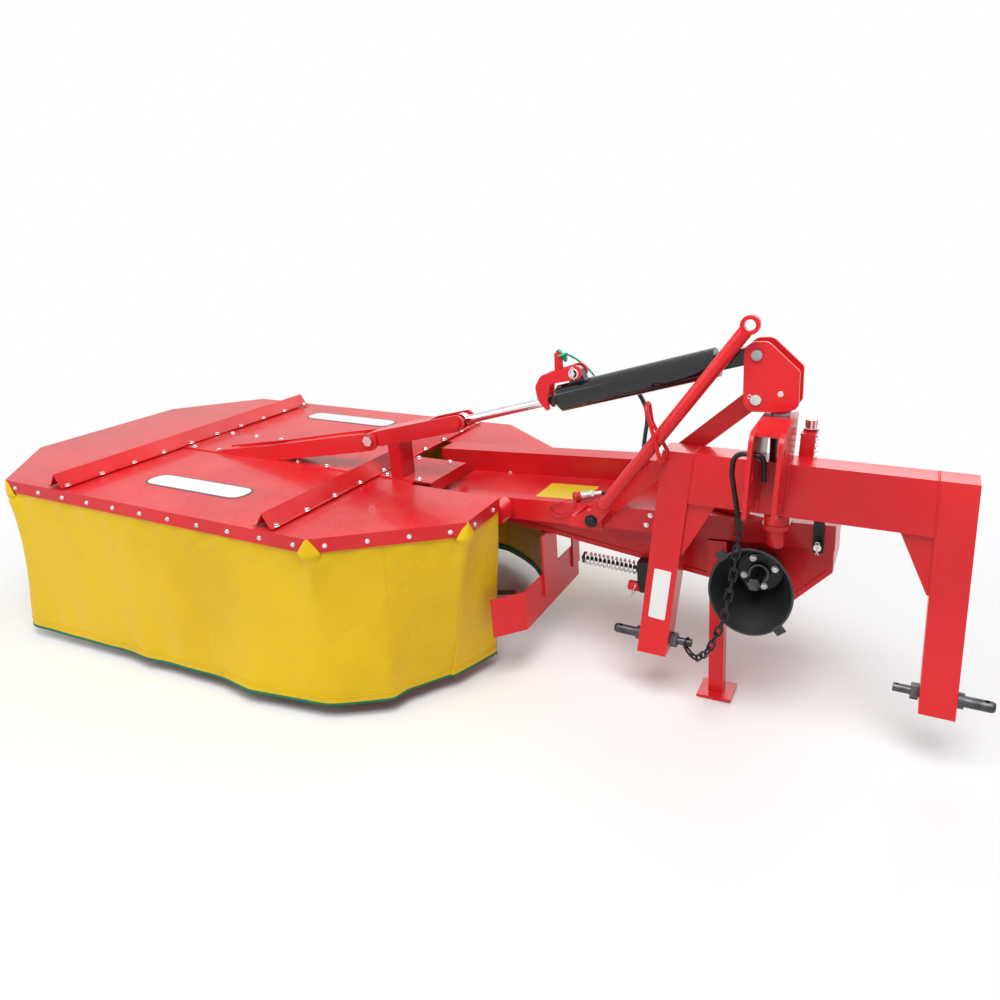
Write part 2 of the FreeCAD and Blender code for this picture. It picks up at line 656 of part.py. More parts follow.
def build_brace():
    """Flat brace from the mast down behind the crossbeam to the lid, and the stay's lug in front."""
    start = Vector(dim("mast_pin_x"), 0, dim("mast_low_pin"))
    level = dim("brace_foot_level")
    end = Vector(start.x - 1.207 * (start.z - level), 0, level)
    run = start - end
    angle = math.degrees(math.atan2(run.z, run.x))
    half, front = dim("brace_width") / 2, dim("lid_front") - dim("brace_plate")
    strip = [(-half, -half, half - 1), (run.Length + half, -half, half - 1),
             (run.Length + half, half, half - 1), (-half, half, half - 1)]
    holes = [("circle", (run.Length, 0), dim("mast_pin_radius"))]
    bar = plate("XZ", [strip] + holes, "brace_plate")
    bar.Placement = Placement(Vector(end.x, front, end.z), Rotation(Vector(0, 1, 0), -angle)).multiply(
        bar.Placement)
    node("brace", fuse(bar, plate("XZ", hexagon(end.x, end.z, 13), 9, front - 9)), CARRIER)

    hole = CARRIER.inverse().multVec(HITCH.multVec(Vector(STAY_FOOT.x, 0, STAY_FOOT.z)))
    x, z = hole.x, hole.z
    tongue = plate("XZ", [[(x - 72, z - 26, 6), (x - 72, z - 8, 6), (x - 14, z + 26, 14), (x + 26, z + 26, 14),
                           (x + 26, z - 30, 6)], ("circle", (x, z), 12)], 12, -50)
    ribs = [box((x + at, -38, z - 26), (10, reach + 38, 26)) for at, reach in ((-68, 56), (12, front))]
    node("stay_lug", fuse(tongue, *ribs), CARRIER)


def build_guard_plate():
    """Swath guard under the belt drive: a plate hung on two straps, its front end bent outwards."""
    x, foot, high, thick = dim("guard_x"), dim("guard_foot"), dim("guard_height"), dim("guard_plate")
    line = [(x - 72, -150), (x, -70), (x, 350)]
    blade = plate("XY", [line + offset_line(line, thick)[::-1]], "guard_height", foot)
    under_housing, under_beam = 440.5, dim("rear_beam_foot")
    straps = [box((x, 58, foot + 50), (thick, 107, under_housing - foot - 50)),
              box((x, 292, foot + 50), (thick, 58, under_beam - foot - 50)),
              box((x - 20, 104, under_housing - 6), (40, 56, 4))]
    node("guard_plate", fuse(blade, *straps), CARRIER)


def build_latch():
    """Breakaway latch under the belt housing: block, spring on its rod, and a stub below."""
    x, y = -345, 80
    block = box((x - 35, 60, 322), (35, 39, 73))
    near, far = Vector(x - 35, y, 369), Vector(-544, y, 382)
    along = (far - near).normalize()
    tie = fuse(cylinder(tuple(near + along * -2), tuple(along), 6, 176), cylinder(tuple(far), tuple(along), 17, 4))
    node("latch_spring", shape(coil(tuple(near + along * 4), tuple(along), 17.5, 2.5, 13, 156)), CARRIER)
    stub = fuse(box((x - 30, 66, 298), (22, 28, 26)), cylinder((x - 20, y, 310), (-1, 0, 0), 10, 44))
    node("latch", fuse(block, tie, stub), CARRIER)
    strap = fuse(box((82, dim("lid_front") - 7, 485), (26, 7, 90)),
                 cylinder((95, dim("lid_front") - 7, 510), (0, -1, 0), 6, 20))
    node("pin_strap", strap, CARRIER)


def build_pto():
    """Input bell, its flange and the splined stub."""
    x, z, back, front = dim("pto_x"), dim("pto_level"), dim("housing_front"), dim("bell_front")
    wall, root = dim("bell_wall"), dim("bell_root")
    wide, high = dim("bell_half_width"), dim("bell_half_height")

    def cone(grow, near, far):
        rings = []
        for share in (0, 0.3, 1):
            a, b = root + (high - root) * share, root + (wide - root) * share
            ring = Part.Wire(Part.Ellipse(Vector(0, 0, 0), a + grow + 0.01, b + grow).toShape())
            turn = Rotation(Vector(0, 0, 1), Vector(1, 0, 0), Vector(0, 1, 0), "ZXY")
            ring.Placement = Placement(Vector(x, near + (far - near) * share, z), turn)
            rings.append(ring)
        return Part.makeLoft(rings, True, True)

    shell = cone(0, back, front).cut(cone(-wall, back - wall, front - 0.02))
    for angle in (128, -52):
        ear = Part.makeBox(24, 5, 26, Vector(wide + 3, front, -13))
        ear.Placement = Placement(Vector(x, 0, z), Rotation(Vector(0, 1, 0), -angle)).multiply(ear.Placement)
        shell = shell.fuse(ear)
    node("pto_guard", shape(shell), CARRIER)
    hub = cut(fuse(cylinder((x, back - wall, z), (0, -1, 0), 52, 8), cylinder((x, back - wall - 8, z), (0, -1, 0), 28, 14)),
              cylinder((x, back, z), (0, -1, 0), 18.2, 60))
    node("pto_flange", hub, CARRIER)

    stub = doc.addObject("PartDesign::Body", "pto_stub_body")
    plane = [f for f in stub.Origin.OriginFeatures if f.Role == "XZ_Plane"][0]
    profile = stub.newObject("Sketcher::SketchObject", "pto_stub_profile")
    profile.AttachmentSupport = [(plane, "")]
    profile.MapMode = "FlatFace"
    profile.addGeometry(Part.Circle(Vector(0, 0, 0), Vector(0, 0, 1), 17.5), False)
    pad = stub.newObject("PartDesign::Pad", "pto_stub_pad")
    pad.Profile = profile
    pad.Length = 96
    stub.Tip = pad
    doc.recompute()
    splines = stub.newObject("Sketcher::SketchObject", "pto_spline_profile")
    splines.AttachmentSupport = [(plane, "")]
    splines.MapMode = "FlatFace"
    splines.addGeometry(rounded([(-2.6, 14.6), (2.6, 14.6), (2.6, 20), (-2.6, 20)]), False)
    groove = stub.newObject("PartDesign::Pocket", "pto_spline_groove")
    groove.Profile = splines
    groove.Length = 60
    groove.Reversed = True
    stub.Tip = groove
    doc.recompute()
    if groove.Shape.isNull() or groove.Shape.Volume > pad.Shape.Volume - 100:
        groove.Reversed = False
        doc.recompute()
    around = stub.newObject("PartDesign::PolarPattern", "pto_splines")
    around.Originals = [groove]
    axis = [f for f in stub.Origin.OriginFeatures if f.Role == "Y_Axis"][0]
    around.Axis = (axis, [""])
    around.Angle = 360
    around.Occurrences = 6
    stub.Tip = around
    doc.recompute()
    # the grooves start on the sketch's plane, which is the stub's front end
    if pad.Shape.BoundBox.YMin < -1:
        stub.Placement = Placement(Vector(), Rotation(Vector(0, 0, 1), 180))
    node("pto_shaft", moved(stub, (x, 2, z)), CARRIER)


def build_stand():
    """Parking stand: leg sliding in a sleeve on the belt housing, with its foot plate."""
    x, y = dim("stand_x"), dim("stand_y")
    side, bore, foot = dim("sleeve_side"), dim("sleeve_bore"), dim("sleeve_foot")
    outer = box((x - side / 2, y - side / 2, foot), ("sleeve_side", "sleeve_side", "sleeve_height"))
    inner = box((x - bore / 2, y - bore / 2, foot - 5), ("sleeve_bore", "sleeve_bore", dim("sleeve_height") + 10))
    node("stand_sleeve", cut(outer, inner), CARRIER)

    leg, wall, sole = dim("stand_side"), 4, dim("stand_plate_side")
    # the foot's outer edge is the one that stands on the floor
    floor = (sole / 2 - x) * math.tan(math.radians(dim("carrier_tilt")))
    start = floor + dim("stand_plate")
    tube = box((x - leg / 2, y - leg / 2, start), ("stand_side", "stand_side", dim("stand_top") - start))
    core = box((x - leg / 2 + wall, y - leg / 2 + wall, start - 1),
               (leg - 2 * wall, leg - 2 * wall, dim("stand_top") - start + 2))
    plate_foot = box((x - sole / 2, y - sole / 2, floor), ("stand_plate_side", "stand_plate_side", "stand_plate"))
    node("stand_leg", fuse(cut(tube, core), plate_foot), CARRIER)


# ---------------------------------------------------------------- ram and hook


PORT = Vector(373, -52, -14)    # mouth of the barrel's port, in the ram's frame


def build_ram():
    """Lift ram: barrel with base eye and gland, chrome rod with its eye, and the lock hook."""
    start, end = dim("barrel_start"), dim("barrel_end")
    radius = dim("barrel_radius")
    tube = cut(cylinder((start, 0, 0), (1, 0, 0), "barrel_radius", end - start - 6),
               cut(cylinder((start + 17, 0, 0), (1, 0, 0), radius + 5, 4),
                   cylinder((start + 10, 0, 0), (1, 0, 0), radius - 1.5, 20)))
    rim = doc.addObject("Part::Cone", fresh("cone"))
    rim.Placement = Placement(Vector(end - 6, 0, 0), Rotation(Vector(0, 0, 1), Vector(1, 0, 0)))
    bind(rim, Radius1=cell("barrel_radius"), Radius2=cell("barrel_radius") + " - 6", Height=6)
    nose = cylinder((end, 0, 0), (1, 0, 0), 15, 25)
    neck = box((0, -20, -20), (start + 4, 40, 40))
    eye = cylinder((0, 25, 0), (0, -1, 0), 22, 50)
    port = cylinder((PORT.x, 4 - radius, PORT.z), (0, -1, 0), 10, -PORT.y + 4 - radius)
    bore = cylinder((150, 0, 0), (1, 0, 0), dim("rod_radius") + 0.05, end - 110)
    hole = cylinder((0, 40, 0), (0, -1, 0), "mast_pin_radius", 80)
    pivot, rise = dim("hook_pivot"), dim("hook_pivot_rise")
    lug = plate("XZ", [(pivot - 22, radius - 4), (pivot - 17, rise + 17, 16), (pivot + 17, rise + 17, 16),
                       (pivot + 22, radius - 4)], 30, -15)
    pin = cylinder((pivot, 28, rise), (0, -1, 0), 7, 56)
    node("ram_barrel", cut(fuse(tube, rim, nose, neck, eye, port, lug, pin), bore, hole), RAM)

    reach = RAM_LENGTH
    shaft = cylinder((400, 0, 0), (1, 0, 0), "rod_radius", reach - 400 - 14)
    rod_eye = cylinder((reach, 11, 0), (0, -1, 0), 22, 22)
    pin = cylinder((reach, 30, 0), (0, -1, 0), 10, 60)
    node("ram_rod", fuse(shaft, rod_eye, pin), RAM)

    claw = [(pivot - 25, 43, 8), (469, 79, 16), (541, 64, 20), (548, 30, 14), (556, 4, 16), (557, -22, 5),
            (566, -22, 5), (582, 8, 16), (583, 44, 24), (566, 86, 26), (478, 96, 24), (438, 72, 20)]
    cheek = [(pivot - 22, rise - 18, 14), (541, rise - 12, 10), (549, 24, 10), (556, 2, 12), (557, -22, 5),
             (566, -22, 5), (583, 10, 20), (581, 48, 24), (556, rise + 16, 26), (pivot - 22, rise + 22, 18)]
    plates = [plate("XZ", [cheek, ("circle", (pivot, rise), 7.4)], 8, y) for y in (-25, 17)]
    bridge = box((508, -25, rise + 2), (16, 50, 14))
    lever = plate("XZ", [(500, rise + 10), (524, rise + 10), (510, 121, 6), (490, 121, 6)], 8, -4)
    node("lock_hook", fuse(*plates, bridge, lever), RAM)


# ---------------------------------------------------------------- hose and rope

# centre lines, from the exit to the far end: the hose in the carrier's frame, the rope in the ram's
HOSE_START = CARRIER.inverse().multVec(RAM.multVec(PORT)) + Vector(0, 0.05, 0)
HOSE_ROUTE = [tuple(HOSE_START), (-410.7, 112, 900.4), (-392.7, 154.4, 862), (-373.2, 170.7, 802.2),
              (-381.3, 152.2, 729.8), (-384.8, 145.2, 660.2), (-412, 153, 606), (-464, 144.2, 573.5),
              (-511.8, 108, 573.5)]
ROPE_ROUTE = [(497, -4, 112), (497, -26, 112), (482, -44, 97), (452, -49, 62), (428, -46, 15), (440, -44.5, -32)]


def cord(label, route, radius, frame):
    """A line that hangs freely: straight runs, with arcs as large as the runs beside them allow."""
    spots = [Vector(*p) for p in route]
    runs = [(b - a).Length for a, b in zip(spots[:-1], spots[1:])]
    radii = []
    for i in range(1, len(spots) - 1):
        turn = (spots[i] - spots[i - 1]).getAngle(spots[i + 1] - spots[i])
        radii.append(0.45 * min(runs[i - 1], runs[i]) / math.tan(turn / 2))
    tube = rod(route, radii, radius)
    centre_line = path(route, radii).Length
    ratio = tube.Volume / (math.pi * radius ** 2 * centre_line)
    print(label, "length %.0f, volume ratio %.3f, runs" % (centre_line, ratio), [round(r) for r in runs],
          "radii", [round(r) for r in radii])
    node(label, shape(tube), frame)


def build_lines():
    """Oil hose from the ram's port down to its coupler on the lid, and the pull rope on the lock hook."""
    cord("hose", HOSE_ROUTE, dim("hose_radius"), CARRIER)
    cord("rope", ROPE_ROUTE, dim("rope_radius"), RAM)
    end = Vector(*HOSE_ROUTE[-1])
    along = (end - Vector(*HOSE_ROUTE[-2])).normalize()
    turned = []
    for start, radius, run in ((0, 8.5, 20), (20, 12.5, 32), (52, "cap_radius", 18)):
        turned.append(cylinder(tuple(end + along * start), tuple(along), radius, run))
    node("coupler", fuse(*turned), CARRIER)


# ---------------------------------------------------------------- mower unit


def on_mower(x, y):
    """A point of the hitch frame, in the mower's frame."""
    return (x - dim("mower_x"), y - dim("mower_y"))


DECK_EDGE = [on_mower(*p) for p in (
    (-805, -22), (-800, -228), (-1120, -495), (-2335, -495), (-2575, -200), (-2575, 420), (-2335, 715),
    (-1120, 715), (-800, 448), (-800, 430))]
DECK_NOTCH = [on_mower(*p) for p in ((-1235, 430), (-1235, 215), (-1105, 215), (-1105, -22))]


def build_deck():
    """Deck sheet with its folded rim, notched for the belt drive, and the curtain inside it."""
    top, thick, rim = dim("deck_top"), dim("sheet"), dim("rim_height")
    face = plate("XY", [DECK_EDGE + DECK_NOTCH], "sheet", top - thick)
    fold = plate("XY", [DECK_EDGE + offset_line(DECK_EDGE, -thick)[::-1]], rim - thick, top - rim)
    node("deck", fuse(face, fold), MOWER)
    near, far = thick + 0.3, thick + 0.3 + dim("curtain")
    hem = plate("XY", [offset_line(DECK_EDGE, -near) + offset_line(DECK_EDGE, -far)[::-1]],
                dim("curtain_head") - dim("curtain_foot"), dim("curtain_foot"))
    node("curtain", hem, MOWER)


def drum_centres():
    """X of the inner and the outer drum in the mower's frame."""
    return dim("drum_offset"), -dim("drum_offset")


def build_gear_beam():
    """Gear beam over both drums, its cover, and the angle drive that carries the lift hinge."""
    half, foot = dim("gear_beam_half"), dim("gear_beam_foot")
    top = dim("deck_top") - dim("sheet")
    outer, inner = dim("beam_outer"), dim("beam_inner")
    outline = [(outer, -half, 60), (inner, -half), (inner, half), (outer, half, 60)]
    case = plate("XY", [outline], top - foot, foot)
    void = plate("XY", [inset([p[:2] for p in outline], 8)], top - foot - 16, foot + 8)
    hubs = [cylinder((x, 0, foot - 12), (0, 0, 1), 70, 12) for x in drum_centres()]
    node("gear_beam", fuse(cut(case, void), *hubs), MOWER)

    cover, left, right = dim("cover_half"), dim("cover_outer"), dim("cover_inner")
    thick, deck = dim("cover_plate"), dim("deck_top")
    lid = box((left, -cover, deck), (right - left, 2 * cover, "cover_plate"))
    fold = box((right - thick, -cover, 520), (thick, 2 * cover, deck - 520 + thick / 2))
    node("gear_cover", fuse(lid, fold), MOWER)

    x, z = dim("hinge_x") - dim("mower_x"), dim("hinge_level")
    y = 20 - dim("mower_y")
    case = plate("XZ", [(inner, 430), (inner, 505), (x + 35, 520, 34), (x + 35, 447, 34), (x - 60, 430)], 66, y)
    shaft = cylinder((x, y + 60, z), (0, 1, 0), "hinge_radius", dim("lid_back") + 40 - 86 + 5)
    collar = cylinder((x, y + 60, z), (0, 1, 0), 30, 12)
    node("angle_drive", fuse(case, shaft, collar), MOWER)


def build_ridges():
    """Folded ridge bars across the deck over the drums."""
    base, high = dim("deck_top") + dim("cover_plate"), dim("ridge_height")
    half, flange, thick = dim("ridge_half"), dim("ridge_flange"), dim("sheet")
    for name, at in (("inner", -1270), ("outer", -2100)):
        x = at - dim("mower_x")
        outline = [(x - half - flange, base), (x - half, base), (x, base + high - 4), (x + half, base),
                   (x + half + flange, base), (x + half + flange, base + thick), (x + half + 2, base + thick),
                   (x, base + high), (x - half - 2, base + thick), (x - half - flange, base + thick)]
        node("ridge_" + name, plate("XZ", [outline], 1175, -485 - dim("mower_y")), MOWER)


def build_arm():
    """Lift arm: cranked lower plates, upper arm with its open fork, and the post."""
    cover = dim("deck_top") + dim("cover_plate")
    shift = -dim("mower_x")
    y = dim("carrier_y") - dim("mower_y")
    half, thick = dim("arm_half"), dim("arm_plate")
    joint = Vector(-1263 + shift, 0, 667)
    lower = [(-1915 + shift, cover), (-1900 + shift, cover + 6), (-1646 + shift, 612), (-1382 + shift, 667),
             (joint.x + 28, 695, 26), (joint.x + 28, 640, 26), (-1381 + shift, 610),
             (-1621 + shift, cover + 4), (-1640 + shift, cover)]
    hole = ("circle", (joint.x, joint.z), 10.2)
    cheeks = [plate("XZ", [lower, hole], "arm_plate", y + at) for at in (-half, half - thick)]
    base = box((-1880 + shift, y - half, cover), (230, 2 * half, 6))
    web = plate("XZ", [(-1640 + shift, 607), (-1382 + shift, 661), (-1320 + shift, 672), (-1320 + shift, 666),
                       (-1382 + shift, 655), (-1640 + shift, 601)], 2 * half - 4, y - half + 2)
    node("lower_arm", fuse(*cheeks, base, web), MOWER)

    eye = Vector(dim("ram_eye_x") + shift, 0, dim("ram_eye_level"))
    run = eye - joint
    angle = math.degrees(math.atan2(run.z, run.x))
    deep = 24
    strip = [(36, -deep), (run.Length + deep, -deep, deep - 1), (run.Length + deep, deep, deep - 1), (36, deep)]
    sides = [plate("XZ", [strip], "arm_plate", at) for at in (-half, half - thick)]
    lids = [box((36, -half, at), (run.Length - 130, 2 * half, thick)) for at in (-deep, deep - thick)]
    knuckle = cut(plate("XZ", [(-22, -22, 21), (60, -22), (60, 22), (-22, 22, 21)], 2 * (half - thick) - 1,
                        -(half - thick) + 0.5), cylinder((0, -60, 0), (0, 1, 0), 10.2, 120))
    heads = [cylinder((run.Length, at, 0), (0, sign, 0), 14, 8) for at, sign in ((-half, -1), (half, 1))]
    upper = fuse(*sides, *lids, knuckle, *heads)
    node("upper_arm", moved(upper, (joint.x, y, joint.z), Rotation(Vector(0, 1, 0), -angle)), MOWER)

    bolt = fuse(cylinder((joint.x, y - half - 8, joint.z), (0, 1, 0), 10, 2 * half + 20),
                plate("XZ", hexagon(joint.x, joint.z, 17), 9, y - half - 9),
                plate("XZ", hexagon(joint.x, joint.z, 17), 12, y + half))
    node("arm_bolt", bolt, MOWER)

    slope = math.tan(math.radians(angle))
    drop = deep / math.cos(math.radians(angle))

    def under(x):
        return joint.z + slope * (x - joint.x) - drop

    left, right = -1196 + shift, -1154 + shift
    post = plate("XZ", [(left + 8, cover), (right + 6, cover), (right, under(right)), (left, under(left))],
                 2 * half - 6, y - half + 3)
    node("arm_post", post, MOWER)


def build_drums():
    """Drums with ribs over dished cutting discs, three knives on each, and free-turning skid saucers."""
    r, top, wall = dim("drum_radius"), dim("drum_top"), dim("drum_wall")
    disc, foot, hub_r = dim("disc_radius"), dim("disc_foot"), dim("hub_radius")
    seam = dim("disc_seam")
    shell = [(hub_r - 1, top - 8), (hub_r - 1, top), (r, top), (r, seam), (r - wall, seam), (r - wall, top - 8)]
    bowl = [(r - wall, seam), (r, seam), (r, 170, 40), (disc - 30, foot + 14), (disc, foot + 10), (disc, foot + 2),
            (hub_r - 1, foot + 2), (hub_r - 1, foot + 8), (disc - 48, foot + 8), (r - wall + 1, 166, 36)]
    saucer, high = dim("saucer_radius"), dim("saucer_height")
    dish = [(0, 0), (150, 0), (220, 6), (saucer - 4, 26), (saucer, high - 8), (saucer - 4, high - 6),
            (214, high - 22), (110, high - 24), (64, high), (64, foot + 4), (0, foot + 4)]
    for name, x, phase in (("inner", dim("drum_offset"), 30), ("outer", -dim("drum_offset"), 90)):
        ribs = []
        for k in range(4):
            rib = box((r - 2, -5, seam + 5), (14, 10, top - 14 - seam))
            rib.Placement = Placement(Vector(), Rotation(Vector(0, 0, 1), 90 * k + 15)).multiply(rib.Placement)
            ribs.append(rib)
        hub = cylinder((0, 0, foot + 8), (0, 0, 1), "hub_radius", top - foot - 8)
        node("drum_" + name, moved(fuse(revolve(shell), hub, *ribs), (x, 0, 0)), MOWER)
        node("disc_" + name, moved(revolve(bowl), (x, 0, 0)), MOWER)

        reach = dim("cut_radius")
        knives = []
        for k in range(3):
            blade = [(disc - 48, -20, 14), (reach - 4, -22, 4), (reach, 14, 4), (disc - 48, 20, 14)]
            knife = plate("XY", [blade], 4, foot - 2)
            knife.Placement = Placement(Vector(x, 0, 0), Rotation(Vector(0, 0, 1), phase + 120 * k)).multiply(
                knife.Placement)
            knives.append(knife)
        node("knives_" + name, group(*knives), MOWER)
        node("saucer_" + name, moved(revolve(dish), (x, 0, 0)), MOWER)


# ---------------------------------------------------------------- build, check, write

build_hitch()
build_stay()
build_chain()
build_relief()
build_belt_drive()
build_carrier()
build_pto()
build_stand()
build_ram()
build_lines()
build_deck()
build_gear_beam()
build_ridges()
build_arm()
build_drums()
doc.recompute()

problems = []
for item in doc.Objects:
    if "Invalid" in item.State or "Error" in item.State:
        problems.append("%s (%s): %s" % (item.Name, item.Label, item.State))
for label, item in nodes.items():
    if item.Shape.isNull() or not item.Shape.isValid() or item.Shape.Volume <= 0:
        problems.append("%s has no valid solid" % label)
if problems:
    raise RuntimeError("; ".join(problems))

os.makedirs("parts", exist_ok=True)
for label, item in nodes.items():
    item.Shape.exportStep("parts/%s.step" % label)
print(len(nodes), "sub-parts written")
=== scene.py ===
# %% [markdown]
# # A two-drum mower, dressed for the studio
#
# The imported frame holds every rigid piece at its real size. This lesson gives each piece its finish,
# adds the small things that a frame leaves out (screws, washers, weld beads, stickers), hangs the
# yellow curtain under the deck, and lights it all softly on a pale floor.

# %% Load the frame
import json

import bmesh
import bpy
import numpy as np
from mathutils import Matrix, Vector


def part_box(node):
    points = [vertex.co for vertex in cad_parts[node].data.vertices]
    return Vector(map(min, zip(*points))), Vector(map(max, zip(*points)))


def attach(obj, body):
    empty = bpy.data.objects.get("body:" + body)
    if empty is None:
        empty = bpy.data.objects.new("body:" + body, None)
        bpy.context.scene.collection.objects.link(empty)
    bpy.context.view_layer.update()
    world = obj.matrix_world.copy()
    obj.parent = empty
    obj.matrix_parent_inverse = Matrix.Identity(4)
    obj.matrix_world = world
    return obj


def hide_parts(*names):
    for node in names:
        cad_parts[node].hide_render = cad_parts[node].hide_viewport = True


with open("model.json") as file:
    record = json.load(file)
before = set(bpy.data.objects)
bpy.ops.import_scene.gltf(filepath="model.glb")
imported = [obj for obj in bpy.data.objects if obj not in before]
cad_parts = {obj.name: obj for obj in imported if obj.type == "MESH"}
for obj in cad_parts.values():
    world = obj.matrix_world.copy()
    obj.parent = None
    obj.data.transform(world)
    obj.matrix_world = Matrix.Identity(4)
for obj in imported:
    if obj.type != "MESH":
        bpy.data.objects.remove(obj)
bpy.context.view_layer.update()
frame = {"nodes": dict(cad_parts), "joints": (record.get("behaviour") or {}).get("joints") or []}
nodes = frame["nodes"]
joints = {joint["name"]: joint for joint in frame["joints"]}

# %% [markdown]
# Three frames of reference save a lot of arithmetic. The hitch stands square on the floor, the
# carrier leans a few degrees with the swing pin, and the ram has its own long axis. Each is a
# 4 by 4 matrix whose columns are its axes and origin, read from the frame's boxes and joints.

# %% Frames of reference


def box_corners(node):
    """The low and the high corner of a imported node's box, as arrays."""
    return [np.array(corner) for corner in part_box(node)]


def against(joint):
    """The unit vector that points against a joint's axis."""
    axis = -np.array(joints[joint]["axis"], float)
    return axis / np.linalg.norm(axis)


def axes_matrix(x_axis, y_axis, z_axis, origin):
    """A frame from its three axes and its origin, as a 4 by 4 array."""
    matrix = np.eye(4)
    for column, axis in enumerate((x_axis, y_axis, z_axis, origin)):
        matrix[:3, column] = axis
    return matrix


def to_row(matrix, points):
    """Points of a frame, in the row's frame: each is turned by the matrix and then shifted."""
    points = np.atleast_2d(np.asarray(points, float))
    return points @ matrix[:3, :3].T + matrix[:3, 3]


X_AXIS, Y_AXIS, Z_AXIS = np.eye(3)
FRONT = -Y_AXIS         # towards the tractor

beam_low, beam_high = box_corners("crossbeam")
hitch_at = np.array(((beam_low[0] + beam_high[0]) / 2, beam_low[1], 0.0))

swing_up = against("swing")
foot = np.array(joints["swing"]["pos_m"], float)
foot -= swing_up * (foot @ swing_up - (hitch_at + (-0.030, 0.040, 0)) @ swing_up)
carrier = axes_matrix(np.cross(Y_AXIS, swing_up), Y_AXIS, swing_up, foot)

ram_x = against("rod_slide")
ram = axes_matrix(ram_x, FRONT, np.cross(ram_x, FRONT), joints["barrel_pivot"]["pos_m"])
print("hitch at", hitch_at.round(3), "carrier at", foot.round(3))

# %% [markdown]
# ## Finishes
#
# The mower is powder coated red, with zinc-plated screws, a black ram and bell, and a curtain of
# coated cloth. Two effects turn up in nearly all of these: the faint orange peel of a sprayed
# surface, and dust that settles where a surface faces up. Each is a node group, so every material
# can use it with its own values.

# %% Node helpers


def feed(tree, sockets, values):
    """Give input sockets their values in order: a link from another node's output, or a constant."""
    for socket, value in zip(sockets, values):
        if isinstance(value, bpy.types.NodeSocket):
            tree.links.new(value, socket)
        else:
            socket.default_value = value


def give(tree, node, **values):
    """Feed input sockets by their names, with _ for a space; other names are the node's settings."""
    for name, value in values.items():
        socket = node.inputs.get(name.replace("_", " "))
        if socket is None:
            setattr(node, name, value)
        else:
            feed(tree, [socket], [value])
    return node


def add(tree, kind, label="", **values):
    """A new node of a kind, with a label and its values."""
    node = tree.nodes.new("ShaderNode" + kind)
    node.label = label
    return give(tree, node, **values)


def mix_colour(tree, factor, first, second):
    """A colour mix; each argument is a socket, or a plain value."""
    node = add(tree, "Mix", data_type="RGBA")
    feed(tree, [node.inputs[i] for i in (0, 6, 7)], (factor, first, second))
    return node.outputs[2]


def math(tree, operation, first, second, clamp=False):
    """One step of arithmetic on sockets or numbers."""
    node = add(tree, "Math", operation=operation, use_clamp=clamp)
    feed(tree, node.inputs, (first, second))
    return node.outputs[0]


def ramp(tree, source, low, high):
    """Map a value between low and high to 0 to 1, smoothly."""
    node = add(tree, "MapRange", interpolation_type="SMOOTHSTEP", Value=source, From_Min=low, From_Max=high)
    return node.outputs[0]


def place_of(tree):
    """Object coordinates: a pattern on them stays put on the piece."""
    return add(tree, "TexCoord").outputs["Object"]


def facing_up(tree):
    """The Z of the surface's normal: 1 where it faces up."""
    return add(tree, "SeparateXYZ", Vector=add(tree, "NewGeometry").outputs["Normal"]).outputs["Z"]


def new_group(name, inputs, outputs):
    """A shader node group with named sockets, and its two end nodes."""
    tree = bpy.data.node_groups.new(name, "ShaderNodeTree")
    for title, kind, default in inputs:
        socket = tree.interface.new_socket(title, in_out="INPUT", socket_type="NodeSocket" + kind)
        socket.default_value = default
    for title, kind in outputs:
        tree.interface.new_socket(title, in_out="OUTPUT", socket_type="NodeSocket" + kind)
    return tree, tree.nodes.new("NodeGroupInput").outputs, tree.nodes.new("NodeGroupOutput")


# %% [markdown]
# Orange peel is a low, soft ripple a few millimetres across, left by the powder as it melts. A
# noise texture feeds a Bump node, which bends the normal. A Voronoi texture adds the round beads of
# water that stand on level sheets after rain, in patches. The group puts out the bent normal and a
# mask of the beads.

# %% The sprayed surface


def build_peel():
    """Bump from two textures: broad ripple, and sparse fine beads on what faces up."""
    tree, start, end = new_group(
        "SprayedSurface",
        [("Ripple Scale", "Float", 90.0), ("Ripple Height", "Float", 0.1),
         ("Bead Scale", "Float", 420.0), ("Bead Height", "Float", 0.0)],
        [("Normal", "Vector"), ("Beads", "Float")])
    here = place_of(tree)
    ripple = add(tree, "TexNoise", "ripple", Vector=here, Scale=start["Ripple Scale"], Detail=2.0)
    beads = add(tree, "TexVoronoi", "beads", Vector=here, Scale=start["Bead Scale"], Randomness=1.0)
    patches = add(tree, "TexNoise", "where beads stand", Vector=here, Scale=14.0, Detail=3.0)
    drop = ramp(tree, beads.outputs["Distance"], 0.34, 0.10)
    drop = math(tree, "MULTIPLY", drop, ramp(tree, patches.outputs["Fac"], 0.38, 0.56))
    drop = math(tree, "MULTIPLY", drop, ramp(tree, facing_up(tree), 0.7, 0.95))
    height = math(tree, "ADD", math(tree, "MULTIPLY", ripple.outputs["Fac"], start["Ripple Height"]),
                  math(tree, "MULTIPLY", drop, start["Bead Height"]))
    bump = add(tree, "Bump", Strength=1.0, Distance=0.001, Height=height)
    give(tree, end, Normal=bump.outputs["Normal"], Beads=drop)
    return tree


peel_group = build_peel()

# %% [markdown]
# Dust lies on what faces up, and a cloudy noise breaks it up. The group tints the colour it gets,
# dulls the gloss where the dust lies, and puts out both.

# %% Settled dust


